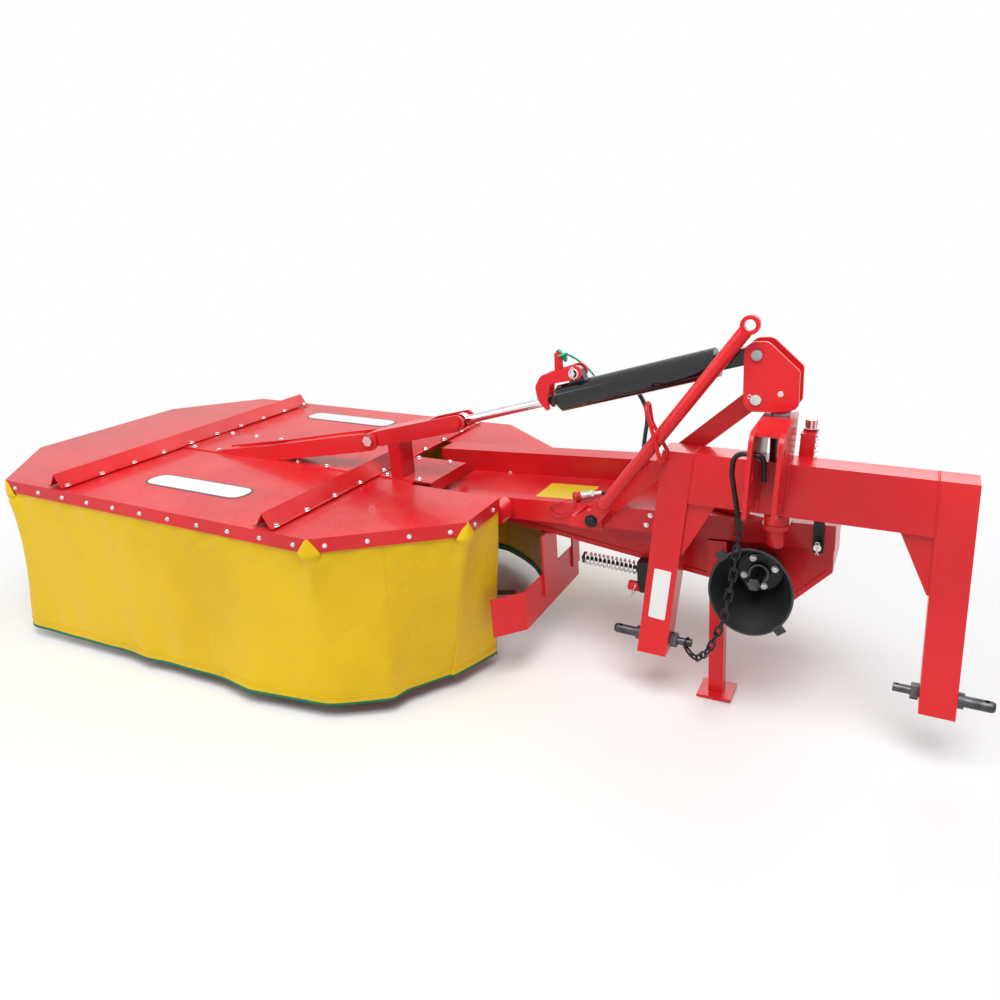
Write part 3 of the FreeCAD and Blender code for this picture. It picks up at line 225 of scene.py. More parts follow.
def build_dust():
    """A mask of settled dust: stronger where the surface faces up, broken up by noise."""
    tree, start, end = new_group(
        "SettledDust",
        [("Colour", "Color", (0.5, 0.5, 0.5, 1)), ("Dust Colour", "Color", (0.62, 0.55, 0.46, 1)),
         ("Amount", "Float", 0.2), ("Gloss", "Float", 0.3), ("Scale", "Float", 6.0)],
        [("Colour", "Color"), ("Roughness", "Float"), ("Mask", "Float")])
    cloud = add(tree, "TexNoise", "cloud", Vector=place_of(tree), Scale=start["Scale"], Detail=6.0,
                Roughness=0.62)
    up = math(tree, "ADD", math(tree, "MULTIPLY", ramp(tree, facing_up(tree), -0.2, 1.0), 0.75), 0.25)
    mask = math(tree, "MULTIPLY", ramp(tree, cloud.outputs["Fac"], 0.35, 0.75), up)
    mask = math(tree, "MULTIPLY", mask, start["Amount"], clamp=True)
    rough = math(tree, "ADD", start["Gloss"], math(tree, "MULTIPLY", mask, 0.5), clamp=True)
    tinted = mix_colour(tree, mask, start["Colour"], start["Dust Colour"])
    give(tree, end, Colour=tinted, Roughness=rough, Mask=mask)
    return tree


dust_group = build_dust()
print(len(bpy.data.node_groups), "node groups")

# %% [markdown]
# Every material starts from the Principled shader. Its colour and roughness pass through the dust
# group, except on bare metal, where the noise of the metal itself drives both.

# %% Material helpers


def opaque(colour, factor=1.0):
    """A colour of four numbers from one of three, each times a factor and at most 1."""
    return [min(1, c * factor) for c in colour] + [1]


def new_material(name):
    """An empty material with its Principled shader."""
    material = bpy.data.materials.new(name)
    material.use_nodes = True
    return material, material.node_tree, material.node_tree.nodes["Principled BSDF"]


def dusted(tree, shader, **values):
    """Feed a shader's colour and roughness from the dust group, with its own values."""
    settled = give(tree, add(tree, "Group", node_tree=dust_group), **values)
    give(tree, shader, Base_Color=settled.outputs["Colour"], Roughness=settled.outputs["Roughness"])


def sprayed(tree, shader, **values):
    """Feed a shader's normal from the sprayed surface, with its own values; returns the bead mask."""
    skin = give(tree, add(tree, "Group", node_tree=peel_group), **values)
    give(tree, shader, Normal=skin.outputs["Normal"])
    return skin.outputs["Beads"]


# %% [markdown]
# ## Red powder coat
#
# A deep, slightly orange red with a hard gloss. The coat layer carries the sharp highlights and
# the base below stays a little rougher, as on the real paint. Colour drifts very slightly from
# sheet to sheet, and dust dulls what faces up.

# %% Paints


def painted(name, colour, gloss=0.28, dust=0.05, beads=0.0, ripple=0.12, coat=0.16, speckle=0.0):
    """A sprayed finish: colour drift, dust, orange peel, and beads of water that darken it a little."""
    material, tree, shader = new_material(name)
    drift = add(tree, "TexNoise", "colour drift", Vector=place_of(tree), Scale=2.2, Detail=2.0)
    base = mix_colour(tree, ramp(tree, drift.outputs["Fac"], 0.3, 0.7), opaque(colour, 0.86),
                      opaque(colour, 1.10))
    drops = sprayed(tree, shader, Ripple_Height=ripple, Bead_Height=beads, Bead_Scale=130.0)
    wet = mix_colour(tree, math(tree, "MULTIPLY", drops, speckle), base, opaque(colour, 0.45))
    dusted(tree, shader, Amount=dust, Gloss=gloss, Colour=wet)
    give(tree, shader, Coat_Weight=coat, Coat_Roughness=0.06, Specular_IOR_Level=0.24)
    return material


RED = (0.66, 0.010, 0.016)
red_paint = painted("red_paint", RED)
red_sheet = painted("red_sheet", RED, beads=1.1, dust=0.06, speckle=0.45)
black_paint = painted("black_paint", (0.006, 0.008, 0.010), gloss=0.12, dust=0.01, ripple=0.05, coat=0.5)
chain_black = painted("chain_black", (0.008, 0.008, 0.009), gloss=0.34, dust=0.02, coat=0.1)
print("paints:", *(paint.name for paint in (red_paint, red_sheet, black_paint, chain_black)))

# %% [markdown]
# ## Metals
#
# Zinc plate is pale and slightly cloudy; the pins are oiled dark steel; the rod is hard chrome.
# One function makes them all from a colour, a roughness range and the size of the clouding.

# %% Metals


def metal(name, colour, rough=(0.25, 0.45), clouding=40.0, tarnish=None):
    """Bare or plated metal: clouded roughness, and tarnish in patches."""
    material, tree, shader = new_material(name)
    noise = add(tree, "TexNoise", "clouding", Vector=place_of(tree), Scale=clouding, Detail=5.0)
    cloud = noise.outputs["Fac"]
    dark = opaque(tarnish or [c * 0.7 for c in colour])
    base = mix_colour(tree, ramp(tree, cloud, 0.42, 0.72), opaque(colour), dark)
    roughness = math(tree, "ADD", math(tree, "MULTIPLY", cloud, rough[1] - rough[0]), rough[0])
    bump = add(tree, "Bump", Strength=0.25, Distance=0.0004, Height=cloud)
    give(tree, shader, Base_Color=base, Roughness=roughness, Metallic=1.0, Normal=bump.outputs["Normal"])
    return material


zinc = metal("zinc_plate", (0.72, 0.73, 0.74), rough=(0.18, 0.42))
dark_steel = metal("dark_steel", (0.10, 0.10, 0.11), rough=(0.28, 0.5), tarnish=(0.05, 0.045, 0.04))
pin_steel = metal("pin_steel", (0.42, 0.42, 0.43), rough=(0.2, 0.45))
chrome = metal("chrome_rod", (0.80, 0.80, 0.82), rough=(0.05, 0.14), clouding=16.0)
worn_steel = metal("worn_steel", (0.36, 0.34, 0.32), rough=(0.35, 0.6), clouding=18.0,
                   tarnish=(0.27, 0.24, 0.21))
print("metals:", *(plate.name for plate in (zinc, dark_steel, pin_steel, chrome, worn_steel)))

# %% [markdown]
# ## Moulded plastic and coated cloth
#
# The bell is a matt black moulding with a fine grain. The curtain is woven cloth with a glossy
# yellow coat: the weave shows only as a very fine relief under the coat, and broad, soft creases
# come from its geometry.

# %% Plastic and cloth


def plastic(name, colour, rough=0.42, grain=900.0):
    """Moulded plastic with a fine grain and light dust."""
    material, tree, shader = new_material(name)
    dusted(tree, shader, Amount=0.04, Gloss=rough, Colour=opaque(colour))
    sprayed(tree, shader, Ripple_Scale=grain, Ripple_Height=0.12)
    return material


def coated_cloth(name, colour, shade, rough):
    """Coated cloth: faint weave from two crossed waves on the piece's own UV map, in metres."""
    material, tree, shader = new_material(name)
    here = place_of(tree)
    woven = add(tree, "UVMap", uv_map="cloth").outputs["UV"]
    waves = [add(tree, "TexWave", "threads", bands_direction=direction, Vector=woven, Scale=320.0,
                 Distortion=0.4).outputs["Fac"] for direction in ("X", "Y")]
    crease = add(tree, "TexNoise", "small creases", Vector=here, Scale=6.0, Detail=2.0,
                 Roughness=0.45, Distortion=0.8)
    warp = add(tree, "VectorMath", operation="ADD")
    feed(tree, warp.inputs, (here, crease.outputs["Color"]))
    crumple = add(tree, "TexVoronoi", "crumpled facets", feature="SMOOTH_F1", Scale=4.0,
                  Smoothness=0.6, Vector=warp.outputs["Vector"])
    height = math(tree, "MULTIPLY", math(tree, "MULTIPLY", *waves), 0.05)
    for relief, millimetres in ((crease.outputs["Fac"], 3.0), (crumple.outputs["Distance"], 6.0)):
        height = math(tree, "ADD", height, math(tree, "MULTIPLY", relief, millimetres))
    bump = add(tree, "Bump", Strength=0.55, Distance=0.001, Height=height)
    tone = add(tree, "TexNoise", "tone", Vector=here, Scale=3.0, Detail=5.0)
    base = mix_colour(tree, ramp(tree, tone.outputs["Fac"], 0.35, 0.75), opaque(colour), opaque(shade))
    dusted(tree, shader, Amount=0.05, Gloss=rough, Scale=4.0, Colour=base)
    give(tree, shader, Normal=bump.outputs["Normal"], Specular_IOR_Level=0.2)
    return material


bell_plastic = plastic("bell_plastic", (0.016, 0.018, 0.019))
yellow_cloth = coated_cloth("yellow_cloth", (0.76, 0.50, 0.005), (0.69, 0.44, 0.004), rough=0.36)
green_hem = coated_cloth("green_hem", (0.012, 0.17, 0.085), (0.010, 0.12, 0.06), rough=0.5)
label_white = plastic("label_white", (0.78, 0.79, 0.80), rough=0.3)
black_rubber = plastic("black_rubber", (0.014, 0.014, 0.015), rough=0.5, grain=500.0)
red_rubber = plastic("red_rubber", (0.55, 0.010, 0.014), rough=0.4, grain=300.0)
green_rope = plastic("green_rope", (0.015, 0.38, 0.20), rough=0.45, grain=1400.0)
label_yellow = plastic("label_yellow", (0.75, 0.55, 0.01), rough=0.3)
label_grey = plastic("label_grey", (0.05, 0.05, 0.055), rough=0.3)
sealed_grey = plastic("sealed_grey", (0.45, 0.47, 0.50), rough=0.35)
print(len(bpy.data.materials), "materials with those of the frame")

# %% [markdown]
# ## Dressing the frame's own pieces
#
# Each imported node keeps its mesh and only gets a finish. A table from finish to node names is
# quick to read and to change; what it doesn't name is red.

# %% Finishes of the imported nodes
FINISHES = {
    red_sheet: ("deck", "gear_cover", "belt_lid", "ridge_inner", "ridge_outer"),
    black_paint: ("ram_barrel",),
    chain_black: ("pin_strap", "hook_rod", "hook_chain", "latch"),
    dark_steel: ("lower_pin_left", "lower_pin_right", "swing_pin", "pto_shaft"),
    pin_steel: ("ram_base_pin", "swing_bush"),
    zinc: ("brace_pin", "arm_bolt", "relief_spring", "latch_spring", "coupler"),
    chrome: ("ram_rod",),
    bell_plastic: ("pto_guard", "pto_flange"),
    worn_steel: ("knives_inner", "knives_outer", "saucer_inner", "saucer_outer"),
    black_rubber: ("hose",),
    green_rope: ("rope",),
}
own_finish = {name: finish for finish, members in FINISHES.items() for name in members}
for name, node in nodes.items():
    node.data.materials.clear()
    node.data.materials.append(own_finish.get(name, red_paint))
print(len(own_finish), "nodes with a finish of their own")

# %% [markdown]
# ## Making new pieces
#
# Every added piece is computed as arrays. `grid_faces` joins a grid of points into quads, and
# `new_piece` turns points and faces into an object that rides on a body.

# %% Mesh helpers


def grid_faces(rows, columns, wrap_rows=False, wrap_columns=False):
    """Quads of a grid of points stored row by row: each joins a point to its next neighbours."""
    r = np.arange(rows if wrap_rows else rows - 1)
    c = np.arange(columns if wrap_columns else columns - 1)
    r, c = np.meshgrid(r, c, indexing="ij")
    next_r, next_c = (r + 1) % rows, (c + 1) % columns
    quads = [r * columns + c, r * columns + next_c, next_r * columns + next_c, next_r * columns + c]
    return np.stack(quads, -1).reshape(-1, 4)


def weld(mesh):
    """Join points that coincide, so that seams and poles are closed."""
    shell = bmesh.new()
    shell.from_mesh(mesh)
    bmesh.ops.remove_doubles(shell, verts=shell.verts, dist=1e-6)
    shell.to_mesh(mesh)
    shell.free()


def link_object(name, data):
    """A new object with its data, linked into the scene."""
    made = bpy.data.objects.new(name, data)
    bpy.context.collection.objects.link(made)
    return made


def new_piece(name, points, faces, material, body, smooth=True, slot="red_paint"):
    """An object from points and faces, riding on a body."""
    mesh = bpy.data.meshes.new(name)
    mesh.from_pydata(np.asarray(points, float).tolist(), [], [list(map(int, f)) for f in faces])
    mesh.validate()
    weld(mesh)
    mesh.polygons.foreach_set("use_smooth", np.full(len(mesh.polygons), smooth))
    mesh.materials.append(material)
    piece = link_object(name, mesh)
    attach(piece, body)
    return piece


def add_wall(piece, thickness, offset=-1.0):
    """Give an open surface its thickness: to its back at -1, to both sides at 0."""
    wall = piece.modifiers.new("thickness", "SOLIDIFY")
    wall.thickness = thickness
    wall.offset = offset


# %% [markdown]
# Screws, washers and turned parts are all lathe work: a profile turned about an axis. `upright`
# then aims the axis, `copies` sets the same shape at many places, and `join` makes several shapes
# into one.

# %% Turning and copying


def full_turn(count):
    """Evenly spaced angles of a full turn."""
    return np.linspace(0, 2 * np.pi, count, endpoint=False)


def lathe(profile, sides):
    """A profile of (radius, height) turned about Z: x = r cos a, y = r sin a; open ends go to the axis."""
    profile = np.array(profile, float)
    if not np.allclose(profile[0], profile[-1]):
        profile = np.concatenate([profile[:1] * (0, 1), profile, profile[-1:] * (0, 1)])
    radius, height = profile.T[:, :, None]
    angle = full_turn(sides)
    points = np.stack([radius * np.cos(angle), radius * np.sin(angle), np.repeat(height, sides, 1)], -1)
    return points.reshape(-1, 3), grid_faces(len(profile), sides, wrap_columns=True)


def upright(direction):
    """A turning matrix that takes Z to a direction."""
    direction = np.asarray(direction, float)
    direction = direction / np.linalg.norm(direction)
    side = np.cross(Z_AXIS if abs(direction[2]) < 0.9 else X_AXIS, direction)
    side /= np.linalg.norm(side)
    return np.stack([side, np.cross(direction, side), direction], 1)


def copies(points, faces, places):
    """The same points at many places; a place is a point and the direction its Z takes."""
    turned = [points @ upright(direction).T + np.asarray(at, float) for at, direction in places]
    shifted = [faces + i * len(points) for i in range(len(places))]
    return np.concatenate(turned), np.concatenate(shifted)


def join(*parts):
    """Several (points, faces) pairs as one."""
    starts = np.cumsum([0] + [len(points) for points, _ in parts[:-1]])
    return (np.concatenate([points for points, _ in parts]),
            np.concatenate([faces + start for (_, faces), start in zip(parts, starts)]))


# %% [markdown]
# ## Screws
#
# The deck's rim, the ridge bars and the gear cover are held by zinc hexagon screws with washers.
# A hexagon head is a lathe with six sides and a rounded top; the washer is a flat lathe under it.

# %% Screw heads


def screw_mesh(across, height):
    """Hexagon head on a washer; across is the head's width over its corners."""
    r = across / 2
    washer_rim = lathe([(r * 0.4, 0.0002), (r * 1.35, 0.0002), (r * 1.38, 0.0009), (r * 1.3, 0.0016),
                        (r * 0.4, 0.0016)], 16)
    head = lathe([(r * 0.97, 0.0014), (r, 0.0018), (r, height * 0.82), (r * 0.86, height),
                  (r * 0.45, height * 1.02)], 6)
    return join(washer_rim, head)


def screws(name, places, body, across, height, material=zinc):
    """A row of screw heads as one piece."""
    points, faces = copies(*screw_mesh(across, height), places)
    return new_piece(name, points, faces, material, body, smooth=False, slot="zinc_plate")


# %% [markdown]
# The rim's screws stand in even rows along each edge of the deck, at a fixed distance from its
# corners. The rows on the ridge bars and the gear cover come from those pieces' own boxes.

# %% Rows of screws
deck_low, deck_high = box_corners("deck")
deck_top = deck_high[2]
RIM_DROP = 0.022        # from the deck's top to the middle of its folded rim
STRAIGHT_OUT = 0.240    # from the deck's outer end to the start of its straight sides
STRAIGHT_IN = 0.320     # and from its inner end
END_OUT = 0.310         # half length of the outer end
END_IN = 0.338          # half length of the inner end
DECK_CORNERS = np.array([
    (deck_high[0] - 0.005, -0.132), (deck_high[0], -END_IN), (deck_high[0] - STRAIGHT_IN, deck_low[1]),
    (deck_low[0] + STRAIGHT_OUT, deck_low[1]), (deck_low[0], -END_OUT), (deck_low[0], END_OUT),
    (deck_low[0] + STRAIGHT_OUT, deck_high[1]), (deck_high[0] - STRAIGHT_IN, deck_high[1]),
    (deck_high[0], END_IN), (deck_high[0], END_IN - 0.018)])
RIM_SPACING = 0.112
RIM_MARGIN = 0.045
BIG_HEAD = {"across": 0.0145, "height": 0.007}


def along_edges(outline, spacing, margin):
    """Evenly spaced points and outward normals on each edge of an open outline."""
    found = []
    for start, end in zip(outline[:-1], outline[1:]):
        run = np.linalg.norm(end - start)
        if run < 2 * margin + 0.01:
            continue
        count = max(2, int(round((run - 2 * margin) / spacing)) + 1)
        tangent = (end - start) / run
        normal = np.array((-tangent[1], tangent[0]))
        normal *= np.sign(normal @ (start + end - deck_low[:2] - deck_high[:2]))
        for share in np.linspace(margin / run, 1 - margin / run, count):
            found.append((start + (end - start) * share, normal))
    return found


rim_places = [((*point, deck_top - RIM_DROP), (*normal, 0)) for point, normal in
              along_edges(DECK_CORNERS, RIM_SPACING, RIM_MARGIN)]
screws("rim_screws", rim_places, "mower_unit", across=0.0098, height=0.005)

ridge_places = []
for ridge in ("ridge_inner", "ridge_outer"):
    low, high = box_corners(ridge)
    ridge_places += [((x, y, low[2] + 0.003), Z_AXIS) for x in (low[0] + 0.007, high[0] - 0.007)
                     for y in np.linspace(low[1] + 0.02, high[1] - 0.02, 10)]
screws("ridge_screws", ridge_places, "mower_unit", **BIG_HEAD)

low, high = box_corners("gear_cover")
cover_places = [((x, y, high[2]), Z_AXIS) for y in (low[1] + 0.016, high[1] - 0.016)
                for x in np.linspace(low[0] + 0.03, high[0] - 0.05, 9)]
screws("cover_screws", cover_places, "mower_unit", **BIG_HEAD)
print(len(rim_places) + len(ridge_places) + len(cover_places), "screws")

# %% [markdown]
# ## Hose and pull rope
#
# The hydraulic hose leaves the side of the ram, drops behind it and comes forward to lie on the
# belt cover, where its coupler waits for the tractor. The pull rope is knotted to the lever of
# the lock hook. Each is a NURBS spline: a few control points, and a curve that stays smooth
# between them. The hose is the curve itself with a round bevel; the rope is three strands that
# wind about the same kind of line.

# %% Lines of the hose and the rope
HOSE_PORT = to_row(ram, (0.373, -0.052, -0.014))
HOSE_POINTS = np.concatenate([HOSE_PORT, to_row(carrier, np.array([
    (-410.7, 112.0, 900.4), (-392.7, 154.4, 862.0), (-373.2, 170.7, 802.2), (-381.3, 152.2, 729.8),
    (-384.8, 145.2, 660.2), (-412.0, 153.0, 606.0), (-464.0, 144.2, 573.5), (-511.8, 108.0, 573.5)]) / 1000)])
ROPE_POINTS = to_row(ram, np.array([
    (497, -4, 112), (497, -26, 112), (482, -44, 97), (452, -49, 62), (428, -46, 15), (440, -44.5, -32)
]) / 1000)


def spline_curve(name, points, radius=0.0):
    """A curve object with one open NURBS spline; its ends touch the first and last point."""
    curve = bpy.data.curves.new(name, "CURVE")
    curve.dimensions = "3D"
    curve.bevel_depth = radius
    curve.bevel_resolution = 5
    curve.use_fill_caps = radius > 0
    spline = curve.splines.new("NURBS")
    spline.points.add(len(points) - 1)
    spline.points.foreach_set("co", np.column_stack([points, np.ones(len(points))]).ravel())
    spline.order_u = 3
    spline.use_endpoint_u = True
    spline.resolution_u = 18
    return link_object(name, curve)


def spline_line(points):
    """The evaluated line of a spline, as an array of points; the helper curve is removed."""
    helper = spline_curve("spline_helper", points)
    mesh = bpy.data.meshes.new_from_object(helper)
    line = np.empty(len(mesh.vertices) * 3)
    mesh.vertices.foreach_get("co", line)
    bpy.data.meshes.remove(mesh)
    bpy.data.objects.remove(helper)
    return line.reshape(-1, 3)


hose = spline_curve("hose_line", HOSE_POINTS, 0.006)
hose.data.materials.append(black_rubber)
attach(hose, "carrier")
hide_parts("hose")

# %% [markdown]
# A tube along a line needs, at each point, two directions at right angles to the line. Turning
# the first pair along with the tangent keeps them from spinning, so strands wind evenly.

# %% Tubes along a line


def resample(line, step):
    """Even points along a line, and how far along each one is."""
    runs = np.linalg.norm(np.diff(line, axis=0), axis=1)
    at_old = np.concatenate([[0], np.cumsum(runs)])
    at = np.linspace(0, at_old[-1], max(4, int(at_old[-1] / step)))
    return np.stack([np.interp(at, at_old, values) for values in line.T], -1), at


def side_vectors(line):
    """Two vectors square to a line at each point, carried along it without spinning."""
    tangent = np.gradient(line, axis=0)
    tangent /= np.linalg.norm(tangent, axis=1)[:, None]
    side = np.empty_like(tangent)
    side[0] = upright(tangent[0])[:, 0]
    for i in range(1, len(line)):
        kept = side[i - 1] - tangent[i] * (side[i - 1] @ tangent[i])
        side[i] = kept / np.linalg.norm(kept)
    return side, np.cross(tangent, side)


def tube(line, radius, sides=8, close=False):
    """Rings of points about a line: p + r (cos a . side + sin a . up); ends are drawn to a point."""
    side, up = side_vectors(line)
    if close:
        turn = np.arctan2(side[0] @ up[-1], side[0] @ side[-1])
        share = np.linspace(0, turn, len(line))[:, None]
        side, up = side * np.cos(share) + up * np.sin(share), up * np.cos(share) - side * np.sin(share)
    radius = np.broadcast_to(np.asarray(radius, float), len(line))[:, None, None]
    angle = full_turn(sides)[None, :, None]
    rings = line[:, None] + radius * (side[:, None] * np.cos(angle) + up[:, None] * np.sin(angle))
    if not close:
        tips = np.broadcast_to(line[[0, -1], None], (2, sides, 3))
        rings = np.concatenate([tips[:1], rings, tips[1:]])
    return rings.reshape(-1, 3), grid_faces(len(rings), sides, wrap_rows=close, wrap_columns=True)


# %% [markdown]
# The rope is laid of three strands, each a tube along a helix about the rope's line. It replaces
# the plain packed cord by its real, twisted surface.

# %% The rope's strands
ROPE_RADIUS = 0.003
STRAND_COUNT = 3
LAY = 0.022             # length of one full turn of a strand


def strands(line):
    """Helices about the line, each at 0.54 of the rope's radius and 0.48 of it thick."""
    line, at = resample(line, 0.0016)
    side, up = side_vectors(line)
    parts = []
    for start in full_turn(STRAND_COUNT):
        angle = (start + at * 2 * np.pi / LAY)[:, None]
        helix = line + 0.54 * ROPE_RADIUS * (side * np.cos(angle) + up * np.sin(angle))
        parts.append(tube(helix, 0.48 * ROPE_RADIUS))
    return join(*parts)


rope_line = spline_line(ROPE_POINTS)
print("rope line", round(float(np.linalg.norm(np.diff(rope_line, axis=0), axis=1).sum()), 3), "m")
rope = new_piece("pull_rope", *strands(rope_line), green_rope, "lock_hook", slot="green_rope")
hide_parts("rope")

# %% [markdown]
# The knot at the lever is a trefoil: the plainest closed line that really crosses itself. Its
# formula winds twice about an axis while it bobs up and down three times.

# %% The rope's knot
KNOT_SIZE = 0.0175
KNOT_WIRE = 0.0036


def knot_line(centre, size):
    """Trefoil: x = sin t + 2 sin 2t, y = cos t - 2 cos 2t, z = -1.3 sin 3t, times size / 3."""
    t = full_turn(90)
    shape = np.stack([np.sin(t) + 2 * np.sin(2 * t), np.cos(t) - 2 * np.cos(2 * t), -1.3 * np.sin(3 * t)], -1)
    return centre + shape @ upright((0.3, 0.5, 0.8)).T * size / 3


knot_tube = tube(knot_line(ROPE_POINTS[0] + (0.004, 0.001, -0.002), KNOT_SIZE), KNOT_WIRE, close=True)
knot = new_piece("rope_knot", *knot_tube, green_rope, "lock_hook", slot="green_rope")

# %% [markdown]
# The coupler is all turned parts on one line: a crimped ferrule, a hexagon, a sleeve with grip
# rings, and a red rubber cap against dust.

# %% Coupler and dust cap
coupler_aim = HOSE_POINTS[-1] - HOSE_POINTS[-2]


def grooves(starts, outer, inner, steps):
    """Ring grooves of a profile: at each start, four points down to the inner radius and up again."""
    return [(radius, start + step) for start in starts
            for radius, step in zip((outer, inner, inner, outer), steps)]


def turned_part(name, profile, sides, material, slot, smooth=False):
    """A lathe profile in millimetres on the coupler's line, from the hose's end."""
    points, faces = copies(*lathe(np.array(profile) / 1000, sides), [(HOSE_POINTS[-1], coupler_aim)])
    return new_piece(name, points, faces, material, "carrier", smooth=smooth, slot=slot)


ferrule = turned_part(
    "coupler_ferrule",
    [(7.0, -14), (8.3, -13), *grooves(np.arange(-10, 6, 4.0), 8.3, 7.5, (0, 1, 2, 3)),
     (8.3, 8), (6.5, 10), (6.5, 20)], 28, zinc, "zinc_plate")
hexagon = turned_part(
    "coupler_hexagon", [(11.6, 10), (12.4, 11), (12.4, 19), (11.6, 20)], 6, zinc, "zinc_plate")
sleeve = turned_part(
    "coupler_sleeve",
    [(9.5, 20), (9.5, 24), (12.3, 25), *grooves(np.arange(28, 46, 3.0), 12.3, 11.5, (0, 0.6, 1.4, 2)),
     (12.3, 51), (11, 52)], 32, zinc, "zinc_plate")
cap = turned_part(
    "dust_cap",
    [(13.6, 49), (15.2, 50), (15.2, 53), (14.0, 54), (14.0, 58), (15.2, 59), (15.2, 66), (13.8, 69), (9, 70)],
    32, red_rubber, "red_paint", smooth=True)
for part in (ferrule, hexagon, sleeve, cap):
    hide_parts("coupler")
print("hose and rope in place")

# %% [markdown]
# ## The curtain
#
# Coated cloth hangs from the rim all round, except where the belt drive comes in. It is a surface
# of two parameters: how far along the rim, and how far down. At the top it follows the rim
# closely; lower down it swings out and in with slow waves, and stands away from the corners where
# the cloth has to turn.

# %% The curtain's path
CLOTH_IN = 0.0062       # the cloth hangs this far inside the rim's outer face
CLOTH_TOP = deck_top - 0.006
CLOTH_FOOT = 0.042
cloth_drop = CLOTH_TOP - CLOTH_FOOT


def smooth_path(outline, radius, step):
    """An outline with its corners rounded by Bezier arcs, sampled evenly: points, normals, lengths."""
    dense = [outline[0]]
    t = np.linspace(0, 1, 9)[:, None]
    for before, here, after in zip(outline[:-2], outline[1:-1], outline[2:]):
        back, on = before - here, after - here
        reach = min(radius, 0.45 * np.linalg.norm(back), 0.45 * np.linalg.norm(on))
        first = here + back / np.linalg.norm(back) * reach
        last = here + on / np.linalg.norm(on) * reach
        dense.extend((1 - t) ** 2 * first + 2 * t * (1 - t) * here + t ** 2 * last)
    points, at = resample(np.array([*dense, outline[-1]]), step)
    tangent = np.gradient(points, axis=0)
    tangent /= np.linalg.norm(tangent, axis=1)[:, None]
    normal = np.stack([tangent[:, 1], -tangent[:, 0]], -1)
    centre = (deck_low[:2] + deck_high[:2]) / 2
    return points, normal * np.sign(np.sum(normal * (points - centre))), at


path, outward, along = smooth_path(DECK_CORNERS, 0.03, 0.008)
path = path - outward * CLOTH_IN
CORNER_AT = [0.0, *(along[np.argmin(np.linalg.norm(path - corner, axis=1))]
                    for corner in DECK_CORNERS[1:-1]), along[-1]]
print("corners at", np.round(CORNER_AT, 2), "m along the rim")

# %% [markdown]
# The foot of the cloth doesn't follow the rim. It swings out at the outer corners, cuts the inner
# ones, and stands in two sharp kinks along the front. A table gives how far it stands out, in
# millimetres, at shares of each edge; between its rows the values are joined and slightly smoothed.

# %% How the foot of the cloth stands
STAND = {
    0: ((0.0, -14), (0.3, -33)),
    1: ((0.0, -84), (0.22, -56), (0.44, -30), (0.54, 3), (0.76, -8)),
    2: ((0.0, -13), (0.07, -4), (0.14, 9), (0.21, 21), (0.29, 8), (0.40, 2), (0.50, 0), (0.567, 11),
        (0.67, 11), (0.76, 15), (0.88, 21), (0.95, 28)),
    3: ((0.0, 30), (0.4, 6), (0.7, 12)),
    4: ((0.0, 26), (0.25, 6), (0.45, 17), (0.65, 4), (0.85, 16)),
    5: ((0.0, 27), (0.5, 9)),
    6: ((0.0, 34), (0.12, 18), (0.27, 6), (0.41, 17), (0.6, 2), (0.78, 14), (0.92, 2)),
    7: ((0.0, -8), (0.5, 4), (0.75, -18)),
    8: ((0.0, -60), (1.0, -52)),
}


def smoothed(values, reach):
    """A running mean with a bell-shaped weight that reaches this many samples to each side."""
    weight = np.exp(-np.linspace(-2, 2, 2 * reach + 1) ** 2)
    padded = np.pad(values, reach, mode="edge")
    return np.convolve(padded, weight / weight.sum(), mode="valid")


stand_rows = np.array([(CORNER_AT[edge] + share * (CORNER_AT[edge + 1] - CORNER_AT[edge]), value / 1000)
                       for edge, rows in STAND.items() for share, value in rows])
foot_stand = smoothed(np.interp(along, *stand_rows.T), 3)
print("the foot stands", foot_stand.min().round(3), "to", foot_stand.max().round(3), "m out")

# %% [markdown]
# On top of the table come waves. Slow ones grow towards the foot, a belly is widest halfway down,
# and fine puckers gather above the hem and under the screws. Each is a sine along the cloth times
# a share that depends on the depth. Under each corner the cloth swells and has a small dent.

# %% Waves in the cloth
FOOT_WAVES = ((0.0030, 9.1, 0.8, 2.1), (0.0028, 17.0, -1.6, 1.3), (0.0014, 33.0, 3.0, 0.0))
BELLY_WAVES = ((0.0045, 6.7, -2.0, 0.4), (0.0022, 15.0, 5.0, 0.0))
PUCKER = 0.0020         # height of the fine puckers


def waves(table, s, t):
    """The sum of h sin(a s + b t + c) over a table's rows (h, a, b, c)."""
    return sum(h * np.sin(a * s + b * t + c) for h, a, b, c in table)


def bell_curve(x, middle, width):
    """A single hump: e to the minus ((x - middle) / width) squared."""
    return np.exp(-((x - middle) / width) ** 2)


def smoothstep(x):
    """0 below 0, 1 above 1, and 3 x squared less 2 x cubed between."""
    x = np.clip(x, 0, 1)
    return x * x * (3 - 2 * x)


def corner_push(s, t):
    """Swelling under each corner of the rim, with a small dent beside it: humps in s and t."""
    below = smoothstep((t - 0.085) / 0.05) * np.exp(-np.clip(t - 0.135, 0, 1) / 0.17)
    return sum(0.012 * bell_curve(s, corner_s, 0.030) * below
               - 0.0065 * bell_curve(s, corner_s + 0.036, 0.013) * bell_curve(t, 0.150, 0.040)
               for corner_s in CORNER_AT[1:-1])


